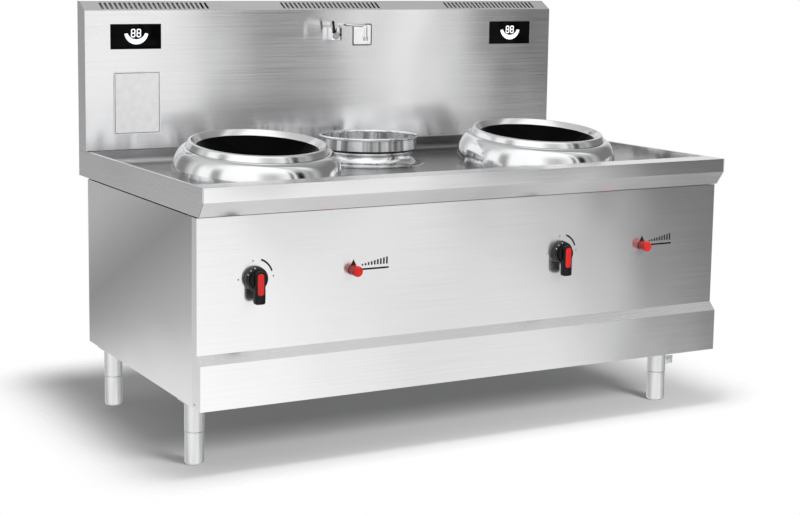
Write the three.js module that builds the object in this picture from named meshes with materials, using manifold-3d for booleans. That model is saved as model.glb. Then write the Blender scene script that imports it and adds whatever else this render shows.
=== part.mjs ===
// A free-standing wok range: two leaning wok stations with glass bowls, a centre well with a wall tap,
// a splashback with displays, and a cabinet on adjustable feet.
// Millimetres, +Z up. The origin is on the floor under the middle of the range, the cook stands at -Y.
import * as THREE from "three";
import { mergeVertices } from "three/addons/utils/BufferGeometryUtils.js";
import Module from "manifold-3d";

const wasm = await Module();
wasm.setup();

// ---------------------------------------------------------------- driving dimensions

// Whole range
const rangeWidth = 1800;
const rangeDepth = 1050;
const worktopHeight = 810;
const splashbackRise = 485; // worktop rim to the top of the splashback
const sheet = 2; // casing panels
const heavySheet = 3; // worktop and its end plates
const touchGap = 0.4; // between pieces that rest on each other
const runningGap = 1; // between pieces that move past each other

// Worktop
const trayDepth = 46;
const trayCove = 20; // radius between the tray's walls and its deck
const frontLedge = 84;
const sideRim = 12;
const rearLip = 4; // of the rim in front of the splashback
const apronHeight = 41; // upright front band
const bevelHeight = 43; // sloping band under it
const bevelInset = 32;
const apronLip = 7; // the bevel's edge folded inwards

// Splashback
const splashbackDepth = 74;
const splashbackTopRun = 50; // front to back length of the slotted slope
const splashbackTopRise = 30;
const ventsPerGroup = 23;
const ventPitch = 16.75;
const ventWidth = 8.5;
const ventGroupInset = 249; // range's end to the middle of the outer groups
const ventMargin = 10; // along the slope, at both ends of a vent

// Cabinet
const cabinetClearance = 187; // floor to the underside of the cabinet
const cabinetBackInset = 88; // the worktop overhangs the back panel by this much
const fasciaInset = 41.5; // front edge of the worktop to the fascia's upper face
const skirtInset = 17;
const slopeTop = 340; // height above the floor
const slopeBottom = 316;
const fasciaReturn = 34; // depth of the fascia's side returns behind its upper face
const fasciaFlange = 20;
const panelSeam = 3; // dark joint under the worktop
const frameTube = 30;
const crossMemberInset = 270; // from a station's centre, towards the middle
const glandInset = 280; // range's right end to the cable gland
const glandHeight = 90; // above the cabinet's floor
const glandRadius = 14;

// Legs
const legRadius = 29;
const legInsetLeft = 40;
const legInsetRight = 115;
const legInsetFront = 157;
const legInsetRear = 207;
const footHeight = 96;
const legFlange = 76;
const legFlangePlate = 4;
const stemRadius = 12;
const stemReach = 50; // of the foot's stem inside the leg
const stemRoom = 15; // bore left above the stem

// Wok stations
const stationInset = 385; // range's end to the station's centre
const stationSetback = 33; // the stations' centres lie this far in front of the middle
const stationLean = 5.8; // degrees, towards the cook
const domeRadius = 264;
const domeHeight = 90;
const domeTopRadius = 223;
const domeSheet = 2.5;
const collarHeight = 21;
const collarTopRadius = 207;
const collarRoll = 9; // the rim rolls this far out
const bowlEdgeRadius = 189;
const bowlEdgeDrop = 17; // the glass edge lies this far below the collar's rim
const bowlCurve = 234; // inner radius of the glass
const glassThickness = 5;
const deckHoleRadius = 205;

// Centre well
const wellSetback = 190; // behind the middle of the range
const wellRimRadius = 160;
const wellRimHeight = 48; // the rim stands this far above the worktop's rim
const wellBandHeight = 44;
const wellLipRadius = 5;
const waistRadius = 147;
const pedestalFootRadius = 188;
const basinRadius = 139;
const basinDepth = 160;
const basinClearance = 4; // between the basin and what it hangs in

// Controls on the fascia
const controlHeight = 544; // above the floor
const switchOffset = -210; // from the station's centre, to the left
const slideZeroOffset = 100; // from the station's centre, to the right
const slideTravel = 110;
const slideSlotHeight = 5;
const collarBaseRadius = 35.5;
const collarFrontRadius = 30.5;
const collarProjection = 22;
const handleProjection = 41; // fascia to the front of the lever
const handleWidth = 31;
const handleUp = 26; // lever above the switch's axis
const handleDown = 68;
const insertWidth = 20.5;
const insertProud = 0.5;
const shaftRadius = 6;
const knobRadius = 15.5;
const knobProjection = 33;

// Displays, blank plates and tap on the splashback
const displayWidth = 175;
const displayHeight = 81;
const displayInset = 174; // range's end to the display's centre
const displayAboveRim = 330; // worktop rim to the display's lower edge
const dataPlateWidth = 162;
const dataPlateHeight = 205;
const dataPlateInset = 177; // range's left end to the plate's centre
const dataPlateRise = 154; // worktop rim to the plate's centre
const noticePlateSize = 77;
const noticePlateOffset = 118; // to the right of the valve
const noticePlateDrop = 4; // below the valve's axis
const plateThickness = 1;
const tapHeight = 373; // above the worktop's rim
const tapWidth = 40; // of the valve's square block
const tapBlockHeight = 44;
const tapOffset = -6;
const tapReach = 28; // splashback to the spout's axis
const tapNose = 10; // spout's axis to the front of the valve
const leverOffset = -14;
const leverRise = 8; // lever's axis above the valve's
const leverLength = 38;
const leverTilt = 10; // degrees to the left when shut
const spoutOffset = 9;
const spoutRadius = 6;
const spoutReach = 197;
const spoutDrop = 36;
const supplyRadius = 8;
const supplyReach = 38; // splashback's face to the pipe's axis
const supplyTail = 60; // of the pipe below the worktop

// ---------------------------------------------------------------- derived places

const left = -rangeWidth / 2;
const right = rangeWidth / 2;
const front = -rangeDepth / 2;
const back = rangeDepth / 2;
const splashFace = back - splashbackDepth;
const splashTop = worktopHeight + splashbackRise;
const splashFold = splashTop - splashbackTopRise;
const trayBack = splashFace - rearLip;
const trayFront = front + frontLedge;
const deckTop = worktopHeight - trayDepth;
const deckUnder = deckTop - heavySheet;
const apronBottom = worktopHeight - apronHeight - bevelHeight;
const panelTop = apronBottom - panelSeam;
const fasciaFace = front + fasciaInset;
const skirtFace = front + skirtInset;
const returnBack = fasciaFace + fasciaReturn;
const cabinetBack = back - cabinetBackInset;
const supplyX = tapOffset;
const supplyY = splashFace + supplyReach;
const cabinetFloorTop = cabinetClearance + sheet;
const wellThroat = basinRadius + basinClearance;
const stationY = -stationSetback;
const stationOffset = right - stationInset;
const crossMemberOffset = stationOffset - crossMemberInset;
const displayOffset = right - displayInset;
const lean = THREE.MathUtils.degToRad(stationLean);
const sides = [
  { word: "left", dir: -1 },
  { word: "right", dir: 1 },
];

// ---------------------------------------------------------------- materials

function material(color, roughness, metalness) {
  return new THREE.MeshStandardMaterial({ color, roughness, metalness });
}
const brushedSteel = material(0xc4c5c6, 0.38, 1);
const polishedSteel = material(0xe2e3e4, 0.08, 1);
const darkSteel = material(0x77797c, 0.5, 1);
const blackGlass = material(0x050506, 0.06, 0);
const blackPlastic = material(0x17181a, 0.45, 0);
const redPlastic = material(0xc8322d, 0.4, 0);
const greyPlastic = material(0x5d6064, 0.55, 0);
const copper = material(0xa65d3a, 0.35, 1);
const chrome = material(0xf0f1f2, 0.05, 1);

// ---------------------------------------------------------------- geometry helpers

// A closed three.js geometry as a solid that can be joined and cut.
function solid(geometry) {
  const bare = geometry.clone();
  bare.deleteAttribute("normal");
  bare.deleteAttribute("uv");
  const merged = mergeVertices(bare, 1e-4);
  const corners = merged.index.array;
  const kept = [];
  for (let i = 0; i < corners.length; i += 3) {
    const [a, b, c] = [corners[i], corners[i + 1], corners[i + 2]];
    if (a !== b && b !== c && a !== c) kept.push(a, b, c);
  }
  return new wasm.Manifold(
    new wasm.Mesh({
      numProp: 3,
      vertProperties: merged.attributes.position.array,
      triVerts: new Uint32Array(kept),
    }),
  );
}

// A solid back as a three.js mesh under its node name.
function piece(name, body, look, parent) {
  const made = body.getMesh();
  const geometry = new THREE.BufferGeometry();
  geometry.setAttribute("position", new THREE.BufferAttribute(made.vertProperties, 3));
  geometry.setIndex(new THREE.BufferAttribute(made.triVerts, 1));
  geometry.computeVertexNormals();
  const mesh = new THREE.Mesh(geometry, look);
  mesh.name = name;
  parent.add(mesh);
  return mesh;
}

function joined(bodies) {
  return bodies.reduce((whole, body) => whole.add(body));
}

function box(x, y, z) {
  const geometry = new THREE.BoxGeometry(x[1] - x[0], y[1] - y[0], z[1] - z[0]);
  geometry.translate((x[0] + x[1]) / 2, (y[0] + y[1]) / 2, (z[0] + z[1]) / 2);
  return solid(geometry);
}

function shapeOf(points) {
  return new THREE.Shape(points.map(([u, v]) => new THREE.Vector2(u, v)));
}

// An outline in (y, z), extruded along X.
function alongX(outline, from, to) {
  const geometry = new THREE.ExtrudeGeometry(shapeOf(outline), { depth: to - from, bevelEnabled: false });
  const turn = new THREE.Matrix4().makeBasis(
    new THREE.Vector3(0, 1, 0),
    new THREE.Vector3(0, 0, 1),
    new THREE.Vector3(1, 0, 0),
  );
  geometry.applyMatrix4(turn);
  geometry.translate(from, 0, 0);
  return solid(geometry);
}

// An outline in (x, z), extruded along Y.
function alongY(outline, from, to) {
  const geometry = new THREE.ExtrudeGeometry(shapeOf(outline), { depth: to - from, bevelEnabled: false });
  const turn = new THREE.Matrix4().makeBasis(
    new THREE.Vector3(1, 0, 0),
    new THREE.Vector3(0, 0, 1),
    new THREE.Vector3(0, -1, 0),
  );
  geometry.applyMatrix4(turn);
  geometry.translate(0, to, 0);
  return solid(geometry);
}

// A profile in (radius, height), anticlockwise, turned about the Z axis.
function turned(profile, steps) {
  const points = profile.map(([r, h]) => new THREE.Vector2(r, h));
  const closed = profile[0][0] === 0 && profile[profile.length - 1][0] === 0;
  if (!closed) points.push(points[0].clone());
  const geometry = new THREE.LatheGeometry(points, steps);
  geometry.rotateX(Math.PI / 2);
  return solid(geometry);
}

function uprightRod(x, y, z, radius, steps) {
  const geometry = new THREE.CylinderGeometry(radius, radius, z[1] - z[0], steps);
  geometry.rotateX(Math.PI / 2);
  geometry.translate(x, y, (z[0] + z[1]) / 2);
  return solid(geometry);
}

function rodAlongY(x, y, z, radius, steps) {
  const geometry = new THREE.CylinderGeometry(radius, radius, y[1] - y[0], steps);
  geometry.translate(x, (y[0] + y[1]) / 2, z);
  return solid(geometry);
}

function rodAlongX(x, y, z, radius, steps) {
  const geometry = new THREE.CylinderGeometry(radius, radius, x[1] - x[0], steps);
  geometry.rotateZ(Math.PI / 2);
  geometry.translate((x[0] + x[1]) / 2, y, z);
  return solid(geometry);
}

// Points on an arc, both ends included.
function arc(centre, radius, fromDegrees, toDegrees, steps) {
  const points = [];
  for (let i = 0; i <= steps; i++) {
    const angle = THREE.MathUtils.degToRad(fromDegrees + ((toDegrees - fromDegrees) * i) / steps);
    points.push([centre[0] + radius * Math.cos(angle), centre[1] + radius * Math.sin(angle)]);
  }
  return points;
}

// The path's parallel, at the thickness to its left.
function parallel(path, thickness) {
  return path.map((point, i) => {
    const before = path[Math.max(i - 1, 0)];
    const after = path[Math.min(i + 1, path.length - 1)];
    const a = new THREE.Vector2(point[0] - before[0], point[1] - before[1]).normalize();
    const b = new THREE.Vector2(after[0] - point[0], after[1] - point[1]).normalize();
    if (i === 0) a.copy(b);
    if (i === path.length - 1) b.copy(a);
    const bisector = new THREE.Vector2(-a.y - b.y, a.x + b.x).normalize();
    const reach = thickness / (-a.y * bisector.x + a.x * bisector.y);
    return [point[0] + bisector.x * reach, point[1] + bisector.y * reach];
  });
}

function roundedRectangle(centre, width, height, radius, steps) {
  const [u, v] = [width / 2 - radius, height / 2 - radius];
  return [
    ...arc([centre[0] + u, centre[1] - v], radius, -90, 0, steps),
    ...arc([centre[0] + u, centre[1] + v], radius, 0, 90, steps),
    ...arc([centre[0] - u, centre[1] + v], radius, 90, 180, steps),
    ...arc([centre[0] - u, centre[1] - v], radius, 180, 270, steps),
  ];
}

const range = new THREE.Group();
range.name = "wok_range";

// ---------------------------------------------------------------- worktop

const roundSteps = 32; // facets of the large round pieces
const innerSteps = 24; // of the large round pieces inside
const holeSteps = 16;

function worktopTray() {
  const coveSteps = 4;
  const apron = [
    [front + bevelInset + apronLip, apronBottom],
    [front + bevelInset, apronBottom],
    [front, worktopHeight - apronHeight],
    [front, worktopHeight],
  ];
  const recess = [
    [trayFront, worktopHeight],
    ...arc([trayFront + trayCove, deckTop + trayCove], trayCove, 180, 270, coveSteps),
    ...arc([trayBack - trayCove, deckTop + trayCove], trayCove, 270, 360, coveSteps),
    [trayBack, worktopHeight],
  ];
  const rearEdge = [back - sheet - touchGap, worktopHeight];
  const underside = parallel([...apron, ...recess, rearEdge], -heavySheet);
  const end = right - heavySheet - touchGap;
  const wallFace = right - sideRim;
  const above = worktopHeight + 1;
  const through = [deckUnder - 1, deckTop + 1];
  let body = alongX([...apron, rearEdge, ...underside.reverse()], -end, end);
  const cut = [[trayFront, above], ...recess.slice(1, -1), [trayBack, above]];
  body = body.subtract(alongX(cut, -wallFace, wallFace));
  const undercut = {
    y: [trayFront - heavySheet - 1, trayBack + heavySheet + 1],
    z: [deckUnder - 1, worktopHeight - heavySheet],
  };
  for (const { dir } of sides) {
    const x = [dir * (wallFace + heavySheet), dir * (end + 1)].sort((a, b) => a - b);
    body = body.subtract(box(x, undercut.y, undercut.z));
    const centre = dir * stationOffset;
    body = body.subtract(uprightRod(centre, stationY, through, deckHoleRadius, roundSteps));
  }
  const wellHole = uprightRod(0, wellSetback, through, wellThroat, roundSteps);
  const pipeRun = [worktopHeight - heavySheet - 1, worktopHeight + 1];
  const pipeHole = uprightRod(supplyX, supplyY, pipeRun, supplyRadius + runningGap, holeSteps);
  return body.subtract(wellHole).subtract(pipeHole);
}

piece("worktop_tray", worktopTray(), brushedSteel, range);

for (const { word, dir } of sides) {
  const outline = [
    [back, worktopHeight],
    [front, worktopHeight],
    [front, worktopHeight - apronHeight],
    [front + bevelInset, apronBottom],
    [back, apronBottom],
  ];
  const from = dir < 0 ? left : right - heavySheet;
  piece(`end_plate_${word}`, alongX(outline, from, from + heavySheet), brushedSteel, range);
}

// ---------------------------------------------------------------- cabinet casings

for (const { word, dir } of sides) {
  const from = dir < 0 ? left : right - sheet;
  const body = box([from, from + sheet], [returnBack, cabinetBack], [cabinetClearance, panelTop]);
  piece(`side_panel_${word}`, body, brushedSteel, range);
}

const innerRight = right - sheet - touchGap; // inside the side panels
const glandX = right - glandInset;

function backPanel() {
  const y = [cabinetBack - sheet, cabinetBack];
  const plate = box([-innerRight, innerRight], y, [cabinetClearance, panelTop]);
  const hole = rodAlongY(
    glandX,
    [y[0] - 1, y[1] + 1],
    cabinetFloorTop + glandHeight,
    glandRadius + touchGap,
    holeSteps,
  );
  return plate.subtract(hole);
}
piece("back_panel", backPanel(), brushedSteel, range);

// Air slots in the cabinet's floor under each power module.
const airSlots = 6;
const airSlotPitch = 30;
const airSlotSize = [12, 160];

function floorPanel() {
  const y = [skirtFace + fasciaFlange + touchGap, cabinetBack - sheet - touchGap];
  let plate = box([-innerRight, innerRight], y, [cabinetClearance, cabinetFloorTop]);
  for (const { dir } of sides) {
    for (let i = 0; i < airSlots; i++) {
      const x = dir * stationOffset + (i - (airSlots - 1) / 2) * airSlotPitch;
      const slot = box(
        [x - airSlotSize[0] / 2, x + airSlotSize[0] / 2],
        [stationY - airSlotSize[1] / 2, stationY + airSlotSize[1] / 2],
        [cabinetClearance - 1, cabinetFloorTop + 1],
      );
      plate = plate.subtract(slot);
    }
  }
  return plate;
}
piece("floor_panel", floorPanel(), darkSteel, range);

function frontFascia() {
  const topFlange = fasciaFace + 12;
  const bottomFlange = skirtFace + fasciaFlange;
  const returnEdge = returnBack - runningGap;
  const face = [
    [topFlange, panelTop],
    [fasciaFace, panelTop],
    [fasciaFace, slopeTop],
    [skirtFace, slopeBottom],
    [skirtFace, cabinetClearance],
    [bottomFlange, cabinetClearance],
  ];
  const filled = [...face.slice(1, -1), [returnEdge, cabinetClearance], [returnEdge, panelTop]];
  const hollow = [
    [topFlange, panelTop + 1],
    ...parallel(face, sheet),
    [bottomFlange, cabinetClearance - 1],
    [returnEdge + 1, cabinetClearance - 1],
    [returnEdge + 1, panelTop + 1],
  ];
  let body = alongX(filled, left, right).subtract(alongX(hollow, left + sheet, right - sheet));
  const screwHole = { inset: 16, height: 12, radius: 3 };
  for (const { dir } of sides) {
    const from = dir < 0 ? left : right - sheet;
    const hole = rodAlongX(
      [from - 1, from + sheet + 1],
      returnEdge - screwHole.inset,
      cabinetClearance + screwHole.height,
      screwHole.radius,
      12,
    );
    body = body.subtract(hole);
    const shaftX = dir * stationOffset + switchOffset;
    const through = [fasciaFace - 1, fasciaFace + sheet + 1];
    body = body.subtract(rodAlongY(shaftX, through, controlHeight, shaftRadius + runningGap, holeSteps));
    const zeroX = dir * stationOffset + slideZeroOffset;
    const slot = box(
      [zeroX - slideSlotHeight - runningGap, zeroX + slideTravel + slideSlotHeight + runningGap],
      through,
      [controlHeight - slideSlotHeight / 2, controlHeight + slideSlotHeight / 2],
    );
    body = body.subtract(slot);
  }
  return body;
}
piece("front_fascia", frontFascia(), brushedSteel, range);

// ---------------------------------------------------------------- welded frame

// A block with windows cut through it: two rings with two cross members each, on four posts.
function weldedFrame() {
  const x = innerRight - runningGap;
  const y = [trayFront + heavySheet + runningGap, cabinetBack - sheet - runningGap];
  const z = [cabinetFloorTop + runningGap, deckUnder - touchGap];
  const half = frameTube / 2;
  const innerY = [y[0] + frameTube, y[1] - frameTube];
  const innerZ = [z[0] + frameTube, z[1] - frameTube];
  const innerX = [-x + frameTube, x - frameTube];
  const past = ([low, high]) => [low - 1, high + 1];
  const bays = [
    [innerX[0], -crossMemberOffset - half],
    [-crossMemberOffset + half, crossMemberOffset - half],
    [crossMemberOffset + half, innerX[1]],
  ];
  let body = box([-x, x], y, z);
  body = body.subtract(box(innerX, past(y), innerZ));
  body = body.subtract(box(past([-x, x]), innerY, innerZ));
  for (const bay of bays) body = body.subtract(box(bay, innerY, past(z)));
  return body;
}
piece("welded_frame", weldedFrame(), darkSteel, range);

// ---------------------------------------------------------------- legs and feet

const legPlaces = [
  { word: "front_left", x: left + legInsetLeft, y: front + legInsetFront },
  { word: "front_right", x: right - legInsetRight, y: front + legInsetFront },
  { word: "rear_left", x: left + legInsetLeft, y: back - legInsetRear },
  { word: "rear_right", x: right - legInsetRight, y: back - legInsetRear },
];
const bondingTab = { width: 37, height: 26, thickness: 4, drop: 46, hole: 4 };

function legTube(withTab) {
  const low = footHeight + touchGap;
  const high = cabinetClearance - touchGap;
  const bore = stemRadius + runningGap;
  const boreTop = footHeight + stemReach + stemRoom;
  const flange = [-legFlange / 2, legFlange / 2];
  const tube = turned(
    [
      [0, boreTop],
      [bore, boreTop],
      [bore, low],
      [legRadius, low],
      [legRadius, high],
      [0, high],
    ],
    holeSteps,
  );
  let body = tube.add(box(flange, flange, [high - legFlangePlate, high]));
  if (withTab) {
    const reach = legRadius + bondingTab.width;
    const top = high - bondingTab.drop;
    const half = bondingTab.thickness / 2;
    const tab = box([legRadius - half, reach], [-half, half], [top - bondingTab.height, top]);
    const middle = [legRadius + bondingTab.width / 2, top - bondingTab.height / 2];
    const hole = rodAlongY(middle[0], [-half - 1, half + 1], middle[1], bondingTab.hole, 12);
    body = body.add(tab.subtract(hole));
  }
  return body;
}

function foot() {
  const heel = 9; // rounded edge at the floor
  const radius = legRadius - 0.5;
  return turned(
    [
      [0, 0],
      [radius - heel, 0],
      ...arc([radius - heel, heel], heel, -60, 0, 3),
      [radius, footHeight],
      [stemRadius, footHeight],
      [stemRadius, footHeight + stemReach],
      [0, footHeight + stemReach],
    ],
    holeSteps,
  );
}

for (const { word, x, y } of legPlaces) {
  const leg = new THREE.Group();
  leg.position.set(x, y, 0);
  range.add(leg);
  piece(`leg_tube_${word}`, legTube(word === "front_right"), brushedSteel, leg);
  piece(`foot_${word}`, foot(), brushedSteel, leg);
}

// ---------------------------------------------------------------- splashback

const splashBottom = worktopHeight + touchGap;
const coverFace = back - sheet; // inner face of the rear cover
const displayLow = worktopHeight + displayAboveRim;
const tapZ = worktopHeight + tapHeight;
const tailRadius = 10;

function splashbackShell() {
  const rear = coverFace - touchGap;
  const face = [
    [splashFace, splashBottom],
    [splashFace, splashFold],
    [splashFace + splashbackTopRun, splashTop],
    [rear, splashTop],
  ];
  const inner = parallel(face, -sheet);
  const hollow = [
    [inner[0][0], splashBottom - 1],
    inner[1],
    inner[2],
    [rear + 1, inner[3][1]],
    [rear + 1, splashBottom - 1],
  ];
  let body = alongX([...face, [rear, splashBottom]], left, right);
  body = body.subtract(alongX(hollow, left + sheet, right - sheet));
  for (const { dir } of sides) {
    const x = dir * displayOffset;
    const window = box(
      [x - displayWidth / 2 - touchGap, x + displayWidth / 2 + touchGap],
      [splashFace - 1, splashFace + sheet + 1],
      [displayLow - touchGap, displayLow + displayHeight + touchGap],
    );
    body = body.subtract(window);
  }
  const tailHole = rodAlongY(
    tapOffset,
    [splashFace - 1, splashFace + sheet + 1],
    tapZ,
    tailRadius + touchGap,
    holeSteps,
  );
  return body.subtract(tailHole).subtract(vents());
}

// Straight slots that run up the sloping top, in three groups.
function vents() {
  const slope = new THREE.Vector2(splashbackTopRun, splashbackTopRise);
  const along = slope.clone().normalize();
  const across = new THREE.Vector2(-along.y, along.x);
  const [start, end] = [ventMargin, slope.length() - ventMargin];
  const corner = (run, rise) => [
    splashFace + along.x * run + across.x * rise,
    splashFold + along.y * run + across.y * rise,
  ];
  const reach = sheet * 2;
  const outline = [corner(start, -reach), corner(end, -reach), corner(end, reach), corner(start, reach)];
  const cuts = [];
  for (const group of [-1, 0, 1]) {
    for (let i = 0; i < ventsPerGroup; i++) {
      const x = group * (right - ventGroupInset) + (i - (ventsPerGroup - 1) / 2) * ventPitch;
      cuts.push(alongX(outline, x - ventWidth / 2, x + ventWidth / 2));
    }
  }
  return joined(cuts);
}
piece("splashback_shell", splashbackShell(), brushedSteel, range);

const rearCover = box([left, right], [coverFace, back], [splashBottom, splashTop]);
piece("splashback_rear_cover", rearCover, brushedSteel, range);

// ---------------------------------------------------------------- displays and blank plates

const glassProud = 1; // the display window stands out of the splashback by this much
const moduleOverlap = 8;
const moduleDepth = 28;

for (const { word, dir } of sides) {
  const x = [dir * displayOffset - displayWidth / 2, dir * displayOffset + displayWidth / 2];
  const z = [displayLow, displayLow + displayHeight];
  const glass = box(x, [splashFace - glassProud, splashFace + sheet], z);
  piece(`display_window_${word}`, glass, blackGlass, range);
  const y = splashFace + sheet + touchGap;
  const module = box(
    [x[0] - moduleOverlap, x[1] + moduleOverlap],
    [y, y + moduleDepth],
    [z[0] - moduleOverlap, z[1] + moduleOverlap],
  );
  piece(`display_module_${word}`, module, greyPlastic, range);
}

const dataPlate = [left + dataPlateInset, worktopHeight + dataPlateRise];
const noticePlate = [tapOffset + noticePlateOffset, tapZ - noticePlateDrop];
const plates = [
  { name: "blank_data_plate", middle: dataPlate, size: [dataPlateWidth, dataPlateHeight], radius: 3 },
  { name: "blank_notice_plate", middle: noticePlate, size: [noticePlateSize, noticePlateSize], radius: 6 },
];
for (const { name, middle, size, radius } of plates) {
  const outline = roundedRectangle(middle, ...size, radius, 3);
  const y = splashFace - touchGap;
  piece(name, alongY(outline, y - plateThickness, y), brushedSteel, range);
}

// ---------------------------------------------------------------- tap and water supply

const tapAxisY = splashFace - tapReach;
const bonnetFront = tapAxisY - tapNose - 1;
const bonnetRadius = 6;
const leverZ = tapZ + leverRise;
const supplyBottom = panelTop - supplyTail;
const spoutSeat = tapZ + tapBlockHeight / 2 + 2; // top of the seat that the spout turns on

function tapBody() {
  const face = splashFace - touchGap;
  const [halfWidth, halfHeight] = [tapWidth / 2, tapBlockHeight / 2];
  const valve = box(
    [tapOffset - halfWidth, tapOffset + halfWidth],
    [tapAxisY - tapNose, face],
    [tapZ - halfHeight, tapZ + halfHeight],
  );
  const tailEnd = supplyY - supplyRadius - touchGap;
  const tail = rodAlongY(tapOffset, [tapAxisY, tailEnd], tapZ, tailRadius, holeSteps);
  const bonnet = rodAlongY(tapOffset + leverOffset, [bonnetFront, tapAxisY], leverZ, bonnetRadius, holeSteps);
  const seat = uprightRod(tapOffset + spoutOffset, tapAxisY, [tapZ, spoutSeat], spoutRadius + 3, holeSteps);
  return joined([valve, tail, bonnet, seat]);
}
piece("tap_body", tapBody(), chrome, range);

function tapLever() {
  const [x, y] = [tapOffset + leverOffset, bonnetFront - runningGap];
  const hub = rodAlongY(x, [y - 9, y], leverZ, bonnetRadius - 0.5, holeSteps);
  const arm = box([-5, 5], [y - 8, y - 2], [0, leverLength]).rotate([0, -leverTilt, 0]);
  return hub.add(arm.translate([x, 0, leverZ]));
}
piece("tap_lever", tapLever(), blackPlastic, range);

// The spout: a nut on the valve's seat, and a tube that runs forward and turns down over the well.
function tapSpout() {
  const x = tapOffset + spoutOffset;
  const base = spoutSeat + runningGap;
  const bend = 14;
  const top = base + 9;
  const outletY = tapAxisY - spoutReach;
  const route = new THREE.CurvePath();
  const at = (y, z) => new THREE.Vector3(x, y, z);
  const straight = (a, b) => route.add(new THREE.LineCurve3(a, b));
  const bent = (a, b, c) => route.add(new THREE.QuadraticBezierCurve3(a, b, c));
  straight(at(tapAxisY, base), at(tapAxisY, top - bend / 2));
  bent(at(tapAxisY, top - bend / 2), at(tapAxisY, top), at(tapAxisY - bend, top));
  straight(at(tapAxisY - bend, top), at(outletY + bend, top));
  bent(at(outletY + bend, top), at(outletY, top), at(outletY, top - bend));
  straight(at(outletY, top - bend), at(outletY, top - spoutDrop));
  const geometry = new THREE.ExtrudeGeometry(shapeOf(arc([0, 0], spoutRadius, 0, 324, 9)), {
    steps: 32,
    extrudePath: route,
    bevelEnabled: false,
  });
  const nut = uprightRod(x, tapAxisY, [base, base + 6], spoutRadius + 4, 6);
  return { tube: solid(geometry).add(nut), outlet: [x, outletY, top - spoutDrop] };
}
const spout = tapSpout();
piece("tap_spout", spout.tube, chrome, range);

const nozzleRadius = spoutRadius + 2;
const nozzle = turned(
  [
    [0, -14],
    [nozzleRadius, -14],
    [nozzleRadius, -touchGap],
    [0, -touchGap],
  ],
  holeSteps,
);
const nozzleMesh = piece("spout_nozzle", nozzle, chrome, range);
nozzleMesh.position.set(...spout.outlet);

const supplyPipe = uprightRod(supplyX, supplyY, [supplyBottom, tapZ + tailRadius], supplyRadius, holeSteps);
piece("supply_pipe", supplyPipe, brushedSteel, range);

// ---------------------------------------------------------------- wok stations

// Everything above a station's deck hole leans towards the cook.
const collarBottom = domeHeight + touchGap;
const collarTop = domeHeight + collarHeight;
const glassEdge = collarTop - bowlEdgeDrop; // height of the glass's top edge
const bowlOpening = bowlEdgeRadius - 4; // radius of the glass's inner edge
const bowlCentre = glassEdge + Math.sqrt(bowlCurve ** 2 - bowlOpening ** 2);

// Height of a sphere about the bowl's centre, below it, at a radius from the axis.
function bowlHeight(radius, curve) {
  return bowlCentre - Math.sqrt(curve ** 2 - radius ** 2);
}

function quarterEllipse(radius, rise, inset, steps) {
  const points = [];
  for (let i = 0; i <= steps; i++) {
    const angle = (Math.PI / 2) * (i / steps);
    points.push([radius - inset + inset * Math.cos(angle), rise * Math.sin(angle)]);
  }
  return points;
}

// The dome stands level on the deck, and its top edge leans: every height turns by its share of the lean.
function wokDome() {
  const steps = 6;
  const outer = quarterEllipse(domeRadius, domeHeight, domeRadius - domeTopRadius, steps);
  const inner = quarterEllipse(
    domeRadius - domeSheet,
    domeHeight - domeSheet,
    domeRadius - domeTopRadius,
    steps - 2,
  );
  const lip = 15; // inward flange that carries the collar
  const footFlange = 18;
  const profile = [
    ...outer,
    [domeTopRadius - lip, domeHeight],
    [domeTopRadius - lip, domeHeight - domeSheet],
    ...inner.reverse().slice(0, -1),
    [domeRadius - domeSheet, domeSheet],
    [domeRadius - footFlange, domeSheet],
    [domeRadius - footFlange, 0],
  ];
  const points = profile.map(([r, h]) => new THREE.Vector2(r, h));
  points.push(points[0].clone());
  const geometry = new THREE.LatheGeometry(points, roundSteps);
  geometry.rotateX(Math.PI / 2);
  const place = geometry.attributes.position;
  const at = new THREE.Vector3();
  for (let i = 0; i < place.count; i++) {
    at.fromBufferAttribute(place, i);
    const share = at.z / domeHeight;
    const z = at.z;
    at.z = 0;
    at.applyAxisAngle(new THREE.Vector3(1, 0, 0), lean * share);
    at.y -= z * Math.sin(lean * share);
    at.z += z * Math.cos(lean * share);
    place.setXYZ(i, at.x, at.y, at.z);
  }
  return solid(geometry);
}

// Height of the bowl's seat, a cone that follows the glass from below.
const seatWidth = 8;
const seatOuter = bowlEdgeRadius;
const seatInner = bowlEdgeRadius - seatWidth;

function wokCollar() {
  const wall = 2.3;
  const outside = bowlCurve + glassThickness + touchGap * 2;
  const seatHigh = bowlHeight(seatOuter, outside);
  const seatLow = bowlHeight(seatInner, outside);
  return turned(
    [
      [domeTopRadius - 1, collarBottom],
      [collarTopRadius + collarRoll, collarTop - 6],
      [collarTopRadius + collarRoll - 1.5, collarTop - 3],
      [collarTopRadius + collarRoll / 2, collarTop - 0.8],
      [collarTopRadius - 1, collarTop],
      [collarTopRadius - 3, collarTop - 0.5],
      [seatOuter, glassEdge],
      [seatOuter, seatHigh],
      [seatInner, seatLow],
      [seatInner + wall, seatLow - wall],
      [seatOuter + wall, seatHigh - wall / 2],
      [seatOuter + wall, glassEdge - wall],
      [collarTopRadius - 3, collarTop - wall - 1.5],
      [collarTopRadius + collarRoll / 2, collarTop - wall - 1.5],
      [collarTopRadius + collarRoll - 2.5, collarTop - 6.5],
      [domeTopRadius - 1 - wall, collarBottom],
    ],
    roundSteps,
  );
}

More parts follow.
